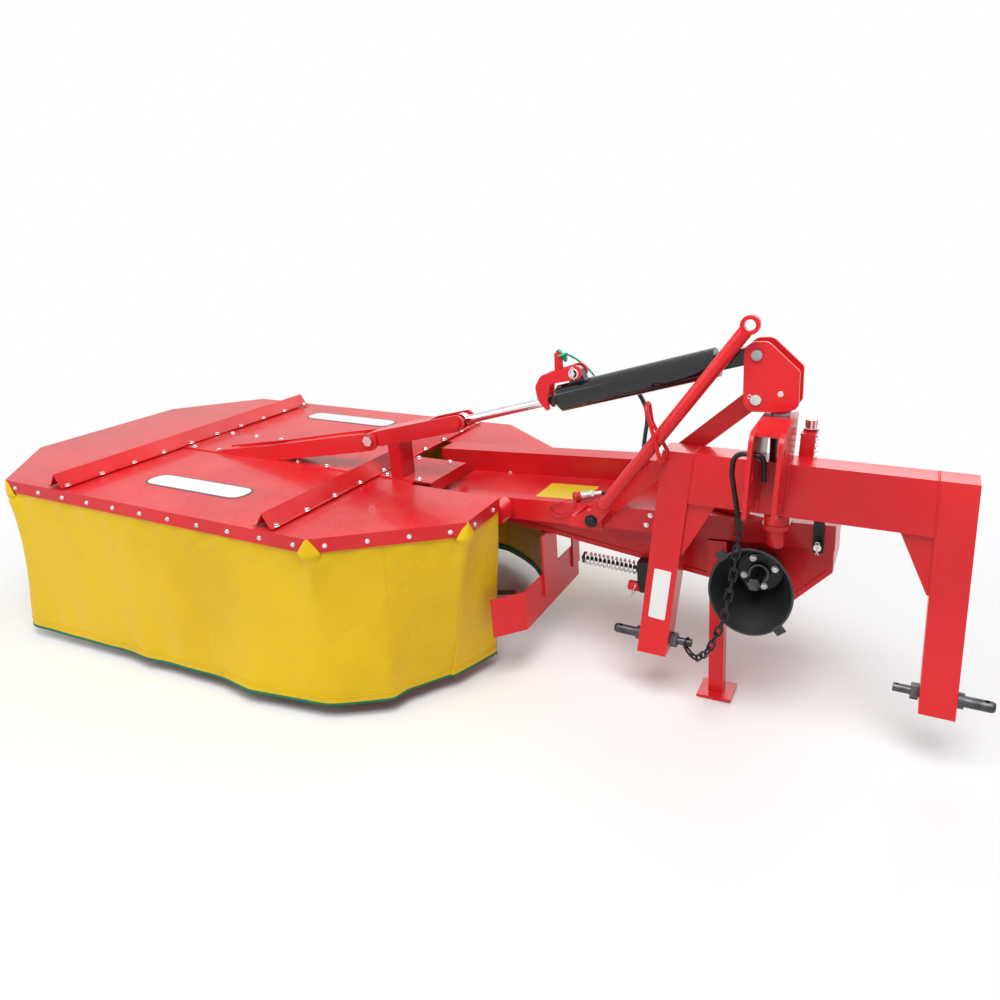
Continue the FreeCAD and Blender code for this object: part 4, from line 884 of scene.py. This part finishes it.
def curtain_wave(s, t):
    """How far the cloth stands out at length s and depth t: the foot's table, times t, plus waves."""
    foot = np.interp(s, along, foot_stand) * t ** 1.15 + corner_push(s, t)
    slow = t ** 1.3 * waves(FOOT_WAVES, s, t) + np.sin(np.pi * t) * waves(BELLY_WAVES, s, t)
    near_foot = PUCKER * np.sin(s * 58.0 + 7.0 * np.sin(s * 3.0)) * bell_curve(t, 0.86, 0.09)
    at_screws = PUCKER * np.sin(s * 2 * np.pi / RIM_SPACING) * bell_curve(t, 0.11, 0.07) * (t > 0.05)
    return foot + slow + near_foot + at_screws


def beside_rim(s, stand, z):
    """Row points at lengths s of the path, standing out from it, at heights z."""
    x, y = (np.interp(s, along, path[:, axis]) + np.interp(s, along, outward[:, axis]) * stand
            for axis in (0, 1))
    return np.stack([x, y, z], -1)


def hang_at(s, t, proud=0.0):
    """Row points of the cloth at lengths s and depths t, or of a line this proud of it."""
    s, t = np.broadcast_arrays(s, t)
    z = CLOTH_TOP - t * cloth_drop + 0.005 * np.sin(s * 2.9 + 0.4) * t ** 3
    return beside_rim(s, curtain_wave(s, t) + proud, z)


# %% [markdown]
# The cloth, its turned-up fold and the green hem are the same surface between different depths.
# Their UV maps are in metres along and down the cloth, which is what the weave reads. A welt, a
# fine raised line, runs above the hem.

# %% The cloth and its hem


def cloth_piece(name, depths, material, thickness, proud=0.0):
    """The hanging surface at some depths, with a UV map in metres."""
    s, t = np.meshgrid(along, depths, indexing="ij")
    piece = new_piece(name, hang_at(s, t, proud).reshape(-1, 3), grid_faces(*s.shape), material,
                      "mower_unit", slot="yellow_cloth")
    index = np.empty(len(piece.data.loops), int)
    piece.data.loops.foreach_get("vertex_index", index)
    uv = np.stack([s.ravel(), t.ravel() * cloth_drop], -1)[index]
    piece.data.uv_layers.new(name="cloth").data.foreach_set("uv", uv.ravel())
    add_wall(piece, thickness, offset=0.0)
    return piece


def cloth_trim(name, points, faces):
    """A piece of the cloth's yellow that has no weave of its own."""
    return new_piece(name, points, faces, yellow_cloth, "mower_unit", slot="yellow_cloth")


FOLD_TOP = 0.950        # depth of the fold's upper edge
curtain = cloth_piece("curtain_cloth", np.linspace(0, 1, 72), yellow_cloth, 0.0014)
hem = cloth_piece("curtain_hem", np.linspace(0.988, 1.004, 4), green_hem, 0.0062)
hem_band = cloth_piece("curtain_hem_band", np.linspace(0.956, 0.990, 5), green_hem, 0.0010, proud=-0.0028)
fold = cloth_piece("curtain_fold", np.linspace(FOLD_TOP, 0.997, 6), yellow_cloth, 0.0044)
welt = cloth_trim("curtain_welt", *tube(hang_at(along, FOLD_TOP, proud=0.0022), 0.0017))

# %% [markdown]
# Where the rim turns, its strips are cut back and the cloth pushes out through the gap. Each of
# these tongues is a small surface: narrow at the top, wider and fuller below, running out into
# the cloth under the rim. A seam, a thin raised line, closes the cloth on the front.

# %% Tongues of cloth at the corners
TONGUE_DROP = 0.085     # from the deck's top down to where the tongue is one with the cloth
RIM_SHARE = 0.52        # share of that drop that lies on the rim
SINK_START = 0.95 * RIM_SHARE


def tongue(corner_s):
    """A tongue at a corner, half width 33 mm at the rim's foot, that sinks into the cloth below it."""
    u, v = np.meshgrid(np.linspace(-1, 1, 25), np.linspace(0, 1, 25), indexing="ij")
    on_rim = np.clip(v / RIM_SHARE, 0, 1)
    s = corner_s + u * (0.003 + 0.030 * on_rim)
    z = deck_top - 0.001 - v * TONGUE_DROP
    over_rim = CLOTH_IN + 0.0012 + (0.0050 + 0.0060 * on_rim) * (1 - u ** 2)
    in_cloth = curtain_wave(s, np.clip((CLOTH_TOP - z) / cloth_drop, 0, 1)) - 0.0012
    sink = smoothstep((v - SINK_START) / (1 - SINK_START) * (1 + 3 * u ** 4))
    points = beside_rim(s, over_rim + (in_cloth - over_rim) * sink, z)
    return points.reshape(-1, 3), grid_faces(*s.shape)


tongues = cloth_trim("curtain_tongues", *join(*map(tongue, CORNER_AT[1:-1])))
add_wall(tongues, 0.0012)
seam_s = CORNER_AT[1] + 0.54 * (CORNER_AT[2] - CORNER_AT[1])
seam_line = hang_at(seam_s, np.linspace(0.08, 0.95, 60), proud=0.0008)
seam = cloth_trim("curtain_seam", *tube(seam_line, 0.0014))

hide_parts("curtain")

# %% [markdown]
# ## Labels
#
# The stickers are thin rounded rectangles just proud of the paint. They stay blank.

# %% Labels
LABEL_THICK = 0.0006


def rounded_sheet(width, height, radius):
    """A thin rounded rectangle in the XY plane: one loop of points, and the same loop raised."""
    turn = np.linspace(0, np.pi / 2, 6)
    loop = []
    for quarter, (cx, cy) in enumerate(((1, 1), (-1, 1), (-1, -1), (1, -1))):
        centre = np.array((cx * (width / 2 - radius), cy * (height / 2 - radius)))
        angle = turn + quarter * np.pi / 2
        loop.append(centre + radius * np.stack([np.cos(angle), np.sin(angle)], -1))
    loop = np.concatenate(loop)
    count = len(loop)
    levels = [np.column_stack([loop, np.full(count, z)]) for z in (0.0, LABEL_THICK)]
    sides = [(i, (i + 1) % count, count + (i + 1) % count, count + i) for i in range(count)]
    faces = sides + [tuple(range(count))[::-1], tuple(range(count, 2 * count))]
    return np.concatenate(levels), faces


def label(name, matrix, width, height, material, body, radius=0.004, raise_by=0.0002):
    """A blank sticker whose middle and axes are given by a matrix."""
    points, faces = rounded_sheet(width, height, radius)
    points[:, 2] += raise_by
    return new_piece(name, to_row(matrix, points), faces, material, body, smooth=False)


def badge(name, x, y, turn):
    """A blank deck badge: a dark rounded field with a white one on it."""
    matrix = axes_matrix((np.cos(turn), np.sin(turn), 0), (-np.sin(turn), np.cos(turn), 0), Z_AXIS,
                         (x, y, deck_top))
    label(name + "_edge", matrix, 0.400, 0.098, label_grey, "mower_unit", radius=0.040)
    label(name, matrix, 0.386, 0.084, label_white, "mower_unit", radius=0.034, raise_by=0.0008)


badge("badge_front", -0.645, -0.402, 0.0)
badge("badge_rear", -0.690, 0.445, np.pi)

leg_lean = np.radians(4.2)
leg_face = axes_matrix((np.cos(leg_lean), 0, -np.sin(leg_lean)), (np.sin(leg_lean), 0, np.cos(leg_lean)),
                       FRONT, hitch_at + (-0.337, 0.0, 0.335))
label("leg_label", leg_face, 0.046, 0.148, label_white, "hitch_frame")
lid_face = carrier @ axes_matrix(X_AXIS, Y_AXIS, Z_AXIS, (-0.620, 0.152, 0.558))
label("lid_label", lid_face, 0.155, 0.130, label_yellow, "carrier")
print("two badges and two labels, all blank")

# %% [markdown]
# ## Small fastenings
#
# Wire is used all over such a machine: split pins lock the pivots, and rings and rims are wire
# bent round. Each is a tube along a computed line; a washer is a lathe again.

# %% Wire parts


def ellipse(angle, centre, across, up):
    """Points of an ellipse: centre + across cos a + up sin a."""
    angle = np.asarray(angle)[:, None]
    return np.asarray(centre) + np.cos(angle) * across + np.sin(angle) * up


def wire(name, line, radius, material, body, slot="zinc_plate", close=True):
    """Round wire along a line of row points."""
    return new_piece(name, *tube(line, radius, close=close), material, body, slot=slot)


def split_pin_line(reach):
    """One wire bent double: out along a leg, round the eye, back along the other, tips turned out."""
    eye, gap, splay = 4.2, 1.1, 4.0
    ring = ellipse(np.radians(np.linspace(15, 345, 20)), (-eye, 0), (eye, 0), (0, eye))
    out_leg = [(reach + 2, gap + splay), (reach, gap + 0.8), (reach - 3, gap), (reach * 0.5, gap)]
    back_leg = [(reach * 0.5, -gap), (reach - 5, -gap), (reach - 2, -gap - 0.8), (reach, -gap - splay)]
    flat = np.concatenate([out_leg, ring, back_leg])
    return np.column_stack([flat, np.zeros(len(flat))]) / 1000


def split_pin(name, at, along_axis, across_axis, reach, body, start):
    """A split pin whose legs run along an axis from a start in millimetres, through a point."""
    along_axis = np.asarray(along_axis, float) / np.linalg.norm(along_axis)
    across_axis = across_axis - along_axis * (across_axis @ along_axis)
    across_axis /= np.linalg.norm(across_axis)
    matrix = axes_matrix(along_axis, across_axis, np.cross(along_axis, across_axis),
                         at + along_axis * start / 1000)
    return wire(name, to_row(matrix, split_pin_line(reach)), 0.0012, zinc, body, close=False)


def washer(name, at, outer, inner, thick, body):
    """A flat ring with rounded rims, facing the front, in millimetres."""
    profile = np.array([(inner, 0), (outer - 0.5, 0), (outer, 0.5), (outer, thick - 0.5),
                        (outer - 0.5, thick), (inner + 0.3, thick), (inner, thick - 0.3), (inner, 0)])
    points, faces = copies(*lathe(profile / 1000, 36), [(at, FRONT)])
    return new_piece(name, points, faces, zinc, body, smooth=False, slot="zinc_plate")


def front_end(node):
    """The middle of a node's front face, toward the tractor."""
    low, high = box_corners(node)
    return np.array(((low[0] + high[0]) / 2, low[1], (low[2] + high[2]) / 2))


def to_front(points):
    """Places at some points that all face the front."""
    return [(at, FRONT) for at in points]


# %% [markdown]
# The pins of the mast, the lock hook and the hanging strap end in a washer and a split pin or a
# nut. Their places come from the boxes and joints of the pieces that they lock.

# %% Pins and nuts
split_pin("mast_pin_split", front_end("brace_pin") + (0, 0.006, 0), (1, 0, -0.35), Z_AXIS, 22, "carrier", -12)
head_face = front_end("mast_head")
washer("mast_nut_washer", head_face, 11, 5, 2, "carrier")
screws("mast_nut", [(head_face + (0, -0.002, 0), FRONT)], "carrier", across=0.0165, height=0.009)

hook_pivot = np.array(joints["hook_lift"]["pos_m"], float)
hook_pivot[1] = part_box("lock_hook")[0][1]
washer("hook_pivot_washer", hook_pivot + (0, 0.0004, 0), 14, 4, 2, "lock_hook")
screws("hook_pivot_pin", [(hook_pivot, FRONT)], "lock_hook", across=0.0155, height=0.010)
split_pin("hook_pivot_split", hook_pivot + (0, -0.0062, 0), (0.1, 0, -1), X_AXIS, 22, "lock_hook", -9)

low, high = box_corners("pin_strap")
strap_pin = np.array(((low[0] + high[0]) / 2 + 0.002, low[1], low[2] + 0.022))
washer("strap_pin_washer", strap_pin, 9.5, 3, 2.2, "carrier")
split_pin("strap_pin_split", strap_pin + (0, -0.004, 0), (0.05, 0, -1), X_AXIS, 24, "carrier", -8)

screws("stay_bolt", [(hitch_at + (-0.529, -0.0222, 0.527), FRONT)], "hitch_frame", across=0.0272,
       height=0.0090, material=chain_black)

low, high = box_corners("relief_spring")
relief_at = np.append((low[:2] + high[:2]) / 2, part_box("relief_bracket")[1][2] - 0.0205)
screws("relief_bolt", [(relief_at, Z_AXIS)], "hitch_frame", across=0.0292, height=0.0213)

LID_SCREWS = ((-0.467, 0.056, 0.516), (-0.350, 0.056, 0.513), (-0.338, 0.056, 0.542), (-0.879, 0.290, 0.557))
screws("lid_screws", to_front(to_row(carrier, LID_SCREWS)), "carrier", across=0.011, height=0.005)
print("three split pins, three washers and the bolts are in place")

# %% [markdown]
# A red cap closes the latch's tube and a wire ring hangs from it, to pull the latch by hand. A
# shackle ties the chain to the left lower pin.

# %% Latch cap, pull ring and shackle
CAP_PROFILE = np.array([(10.3, 33.6), (10.3, 0), (14.5, 0), (15.3, 0.8), (15.3, 33.6), (13.6, 35.6)]) / 1000
latch_end = to_row(carrier, (-0.376, 0.080, 0.310))[0]
new_piece("latch_cap", *copies(*lathe(CAP_PROFILE, 36), [(latch_end, -X_AXIS)]), red_paint, "carrier",
          slot="red_paint")
wire("latch_ring", ellipse(full_turn(60), latch_end + (-0.018, 0, -0.012), (0.0069, 0, 0.023), (0, 0.023, 0)),
     0.0012, zinc, "carrier")

low, high = box_corners("lower_pin_left")
shackle_at = np.array((high[0] - 0.014, (low[1] + high[1]) / 2, (low[2] + high[2]) / 2 - 0.0025))
wire("chain_shackle", ellipse(full_turn(48), shackle_at, (0, 0, 0.0155), (0.003, 0.0155, 0)),
     0.0026, chain_black, "hitch_frame")
print("latch closed at", latch_end.round(3), "and the chain shackled at", shackle_at.round(3))

# %% [markdown]
# ## Inside the bell
#
# Four socket screws hold the shaft's flange inside the bell. The bell's mouth ends in a rolled
# rim, a seal sits round the shaft, and two eyelets on the rim take the chain that stops the bell
# from turning. All lie on circles about the shaft's line, or on an ellipse where the bell is oval.

# %% Inside the bell


def about_shaft(angle, y, wide, high):
    """Row points on an ellipse about the drive shaft's line, at a depth y of the carrier's frame."""
    return to_row(carrier, ellipse(angle, (-0.050, y, 0.396), (wide, 0, 0), (0, 0, high)))


def socket_screw():
    """A round socket head with a sunk hexagon, on a flat washer, in metres."""
    flat_ring = lathe(np.array([(3, 0.2), (9.5, 0.2), (9.8, 0.8), (9.3, 1.8), (3, 1.8)]) / 1000, 24)
    head = lathe(np.array([(7.6, 1.6), (7.8, 2.2), (7.8, 6.8), (7.2, 7.6), (4.2, 7.6), (4.0, 7.2),
                           (4.0, 3.2), (0.5, 3.0)]) / 1000, 24)
    return join(flat_ring, head)


bell_screws = to_front(about_shaft(np.radians((114, 18, 198, 288)), 0.090, 0.042, 0.042))
new_piece("bell_screws", *copies(*socket_screw(), bell_screws), zinc, "carrier", smooth=False,
          slot="zinc_plate")
wire("bell_rim", about_shaft(full_turn(120), -0.0478, 0.1028, 0.1188), 0.0030, bell_plastic, "carrier",
     slot="black_plastic")
wire("shaft_seal", about_shaft(full_turn(120), 0.0758, 0.0245, 0.0245), 0.0022, sealed_grey, "carrier",
     slot="black_plastic")
eyelet = lathe(np.array([(3.2, 0), (8.5, 0), (8.5, 6.0), (7.6, 6.8), (4.2, 6.8), (3.2, 6.0),
                         (3.2, 0)]) / 1000, 24)
eyelets = to_front(about_shaft(np.radians((128, -52)), -0.0442, 0.119, 0.119))
new_piece("bell_eyelets", *copies(*eyelet, eyelets), bell_plastic, "carrier", slot="black_plastic")
print(len(bell_screws), "screws and", len(eyelets), "eyelets in the bell")

# %% [markdown]
# The dust cap's keeper is one closed loop of thin moulded strap. Eight points are enough: they
# are joined by the smoothest periodic curve through them, found with a Fourier transform.

# %% Keeper strap
KEEPER = np.array([(-0.575, 0.060, 0.566), (-0.602, 0.052, 0.560), (-0.630, 0.050, 0.549),
                   (-0.635, 0.050, 0.530), (-0.613, 0.050, 0.515), (-0.586, 0.050, 0.522),
                   (-0.563, 0.050, 0.543), (-0.558, 0.057, 0.563)])


def periodic_line(points, count):
    """Trigonometric interpolation of an even number of points: the transform, padded with zeros."""
    spectrum = np.fft.rfft(points, axis=0)
    spectrum[-1] *= 0.5
    padded = np.zeros((count // 2 + 1, 3), complex)
    padded[:len(spectrum)] = spectrum
    return np.fft.irfft(padded, count, axis=0) * count / len(points)


keeper_line = to_row(carrier, periodic_line(KEEPER, 96))
wire("cap_keeper", keeper_line, 0.0017, red_rubber, "carrier", slot="red_paint")
print("keeper", round(float(np.linalg.norm(np.diff(keeper_line, axis=0), axis=1).sum()), 3), "m long")

# %% [markdown]
# ## Weld beads
#
# The frame is welded from tube and plate. A bead is a small tube along the joint whose radius
# swells and shrinks as the torch steps on, like a row of coins laid over one another.

# %% Weld beads
BEAD_STEP = 0.0045
PLATE_FACES = (-0.118, -0.108, -0.054, -0.044)      # x of the bracket plates, from the hitch's middle


def bead(line, radius=0.0032):
    """A scalloped tube: radius times 1 + 0.16 sin(2 pi s / step), half as thick at its ends."""
    dense, at = resample(np.asarray(line, float), 0.0011)
    swell = radius * (1 + 0.16 * np.sin(at * 2 * np.pi / BEAD_STEP))
    swell[[0, 1, -2, -1]] *= 0.5
    return tube(dense, swell)


beam_foot, beam_top = beam_low[2], beam_high[2]
beads = []
for plate_x in PLATE_FACES:
    for level, inner in ((beam_top, beam_top - 0.004), (beam_foot, beam_foot + 0.004)):
        beads.append(bead(hitch_at + [(plate_x, 0.002, inner), (plate_x, 0.002, level)]))
    beads.append(bead(hitch_at + [(plate_x, -0.001, beam_foot + 0.004), (plate_x, -0.001, beam_top - 0.004)]))
for leg, side in (("leg_left", 1), ("leg_right", -1)):
    low, high = box_corners(leg)
    inner_top = high[0] if side > 0 else low[0]
    inner_foot = inner_top - side * 0.010
    for y in (beam_low[1], beam_high[1]):
        beads.append(bead([(inner_foot, y, beam_foot + 0.002), (inner_top, y, beam_top - 0.002)], 0.0024))
    across_top = [(inner_top, beam_low[1] + 0.003, beam_top), (inner_top, beam_high[1] - 0.003, beam_top)]
    beads.append(bead(across_top, 0.0024))
new_piece("hitch_welds", *join(*beads), red_paint, "hitch_frame")
print(len(beads), "weld beads")

# %% [markdown]
# ## Studio
#
# A pale floor that runs into the background, one big soft light above and in front, a second to
# fill the shadows, and an even sky. Floor and sky look white to the camera and in reflections, so
# the lamps can stay at a plain level.

# %% Floor


def seen_directly(tree):
    """1 for rays of the camera, of reflections and of glass; 0 for those that only bring light."""
    rays = add(tree, "LightPath").outputs
    mirrored = math(tree, "ADD", rays["Is Glossy Ray"], rays["Is Transmission Ray"])
    return math(tree, "ADD", rays["Is Camera Ray"], mirrored, clamp=True)


def blend_into(tree, end, factor, first, second):
    """Mix two shaders by a factor into an end node's surface."""
    blend = add(tree, "MixShader")
    feed(tree, blend.inputs, (factor, first.outputs[0], second.outputs[0]))
    give(tree, tree.nodes[end], Surface=blend.outputs[0])


def build_floor(half=14.0, level=-0.0005):
    """A large flat sheet under the mower that fades to white away from it."""
    mesh = bpy.data.meshes.new("studio_floor")
    mesh.from_pydata([(x * half, y * half, level) for x, y in ((-1, -1), (1, -1), (1, 1), (-1, 1))], [],
                     [(0, 1, 2, 3)])
    material, tree, shader = new_material("studio_floor")
    give(tree, shader, Base_Color=opaque((0.86, 0.86, 0.86)), Roughness=0.8)
    reach = add(tree, "VectorMath", operation="LENGTH", Vector=place_of(tree))
    far = ramp(tree, reach.outputs["Value"], 0.7, 2.8)
    blend_into(tree, "Material Output", math(tree, "MULTIPLY", far, seen_directly(tree)), shader,
               add(tree, "Emission"))
    mesh.materials.append(material)
    floor = link_object("studio_floor", mesh)


build_floor()

# %% [markdown]
# The lights are three square area lamps: the key from above on the tractor's side, a fill from the
# outer end, and one behind that rims the upper edges.

# %% Sky and lights
LIGHTS = (("key_light", (1.0, -2.0, 4.6), (-0.2, 0, 0.4), 225),
          ("fill_light", (-3.8, -3.0, 2.4), (-0.4, 0, 0.4), 62),
          ("back_light", (0.5, 4.0, 3.4), (-0.2, 0, 0.5), 70))


def soft_light(name, at, target, power):
    """A square area light aimed at a point."""
    lamp = bpy.data.lights.new(name, "AREA")
    lamp.shape = "SQUARE"
    lamp.size = 3.0
    lamp.energy = power
    holder = link_object(name, lamp)
    holder.location = at
    holder.rotation_euler = (Vector(target) - Vector(at)).to_track_quat("-Z", "Y").to_euler()


def build_world(strength):
    """An even sky: plain for light, and white to the camera and to reflections."""
    world = bpy.data.worlds.new("studio_sky")
    bpy.context.scene.world = world
    world.use_nodes = True
    tree = world.node_tree
    plain = give(tree, tree.nodes["Background"], Color=(1, 1, 1, 1), Strength=strength)
    white = add(tree, "Background", Color=(1, 1, 1, 1), Strength=1.0)
    blend_into(tree, "World Output", seen_directly(tree), plain, white)


build_world(0.28)
for light in LIGHTS:
    soft_light(*light)
bpy.context.scene.view_settings.view_transform = "Standard"
print(len(LIGHTS), "lights")

# %% [markdown]
# The camera stands where a person would, looking down a little. Its turn is built from three
# angles: the heading, the tilt down, and a small roll.

# %% Camera
CAMERA_AT = hitch_at + (0.166, -1.959, 1.345)
HEADING, TILT, ROLL = np.radians((28.09, 20.49, -1.70))


def build_camera():
    """Camera axes from heading, tilt and roll; the picture plane is shifted a little."""
    forward = np.array((-np.sin(HEADING) * np.cos(TILT), np.cos(HEADING) * np.cos(TILT), -np.sin(TILT)))
    level = np.array((np.cos(HEADING), np.sin(HEADING), 0))
    upward = np.cross(level, forward)
    right, up = ellipse((ROLL, ROLL + np.pi / 2), (0, 0, 0), level, upward)
    data = bpy.data.cameras.new("camera")
    data.sensor_width = 36.0
    data.lens = 29.14
    data.shift_x = 0.0197
    data.shift_y = 0.0046
    camera = link_object("camera", data)
    camera.matrix_world = Matrix(axes_matrix(right, up, -forward, CAMERA_AT).tolist())
    bpy.context.scene.camera = camera
    print("camera at", CAMERA_AT.round(3))


build_camera()
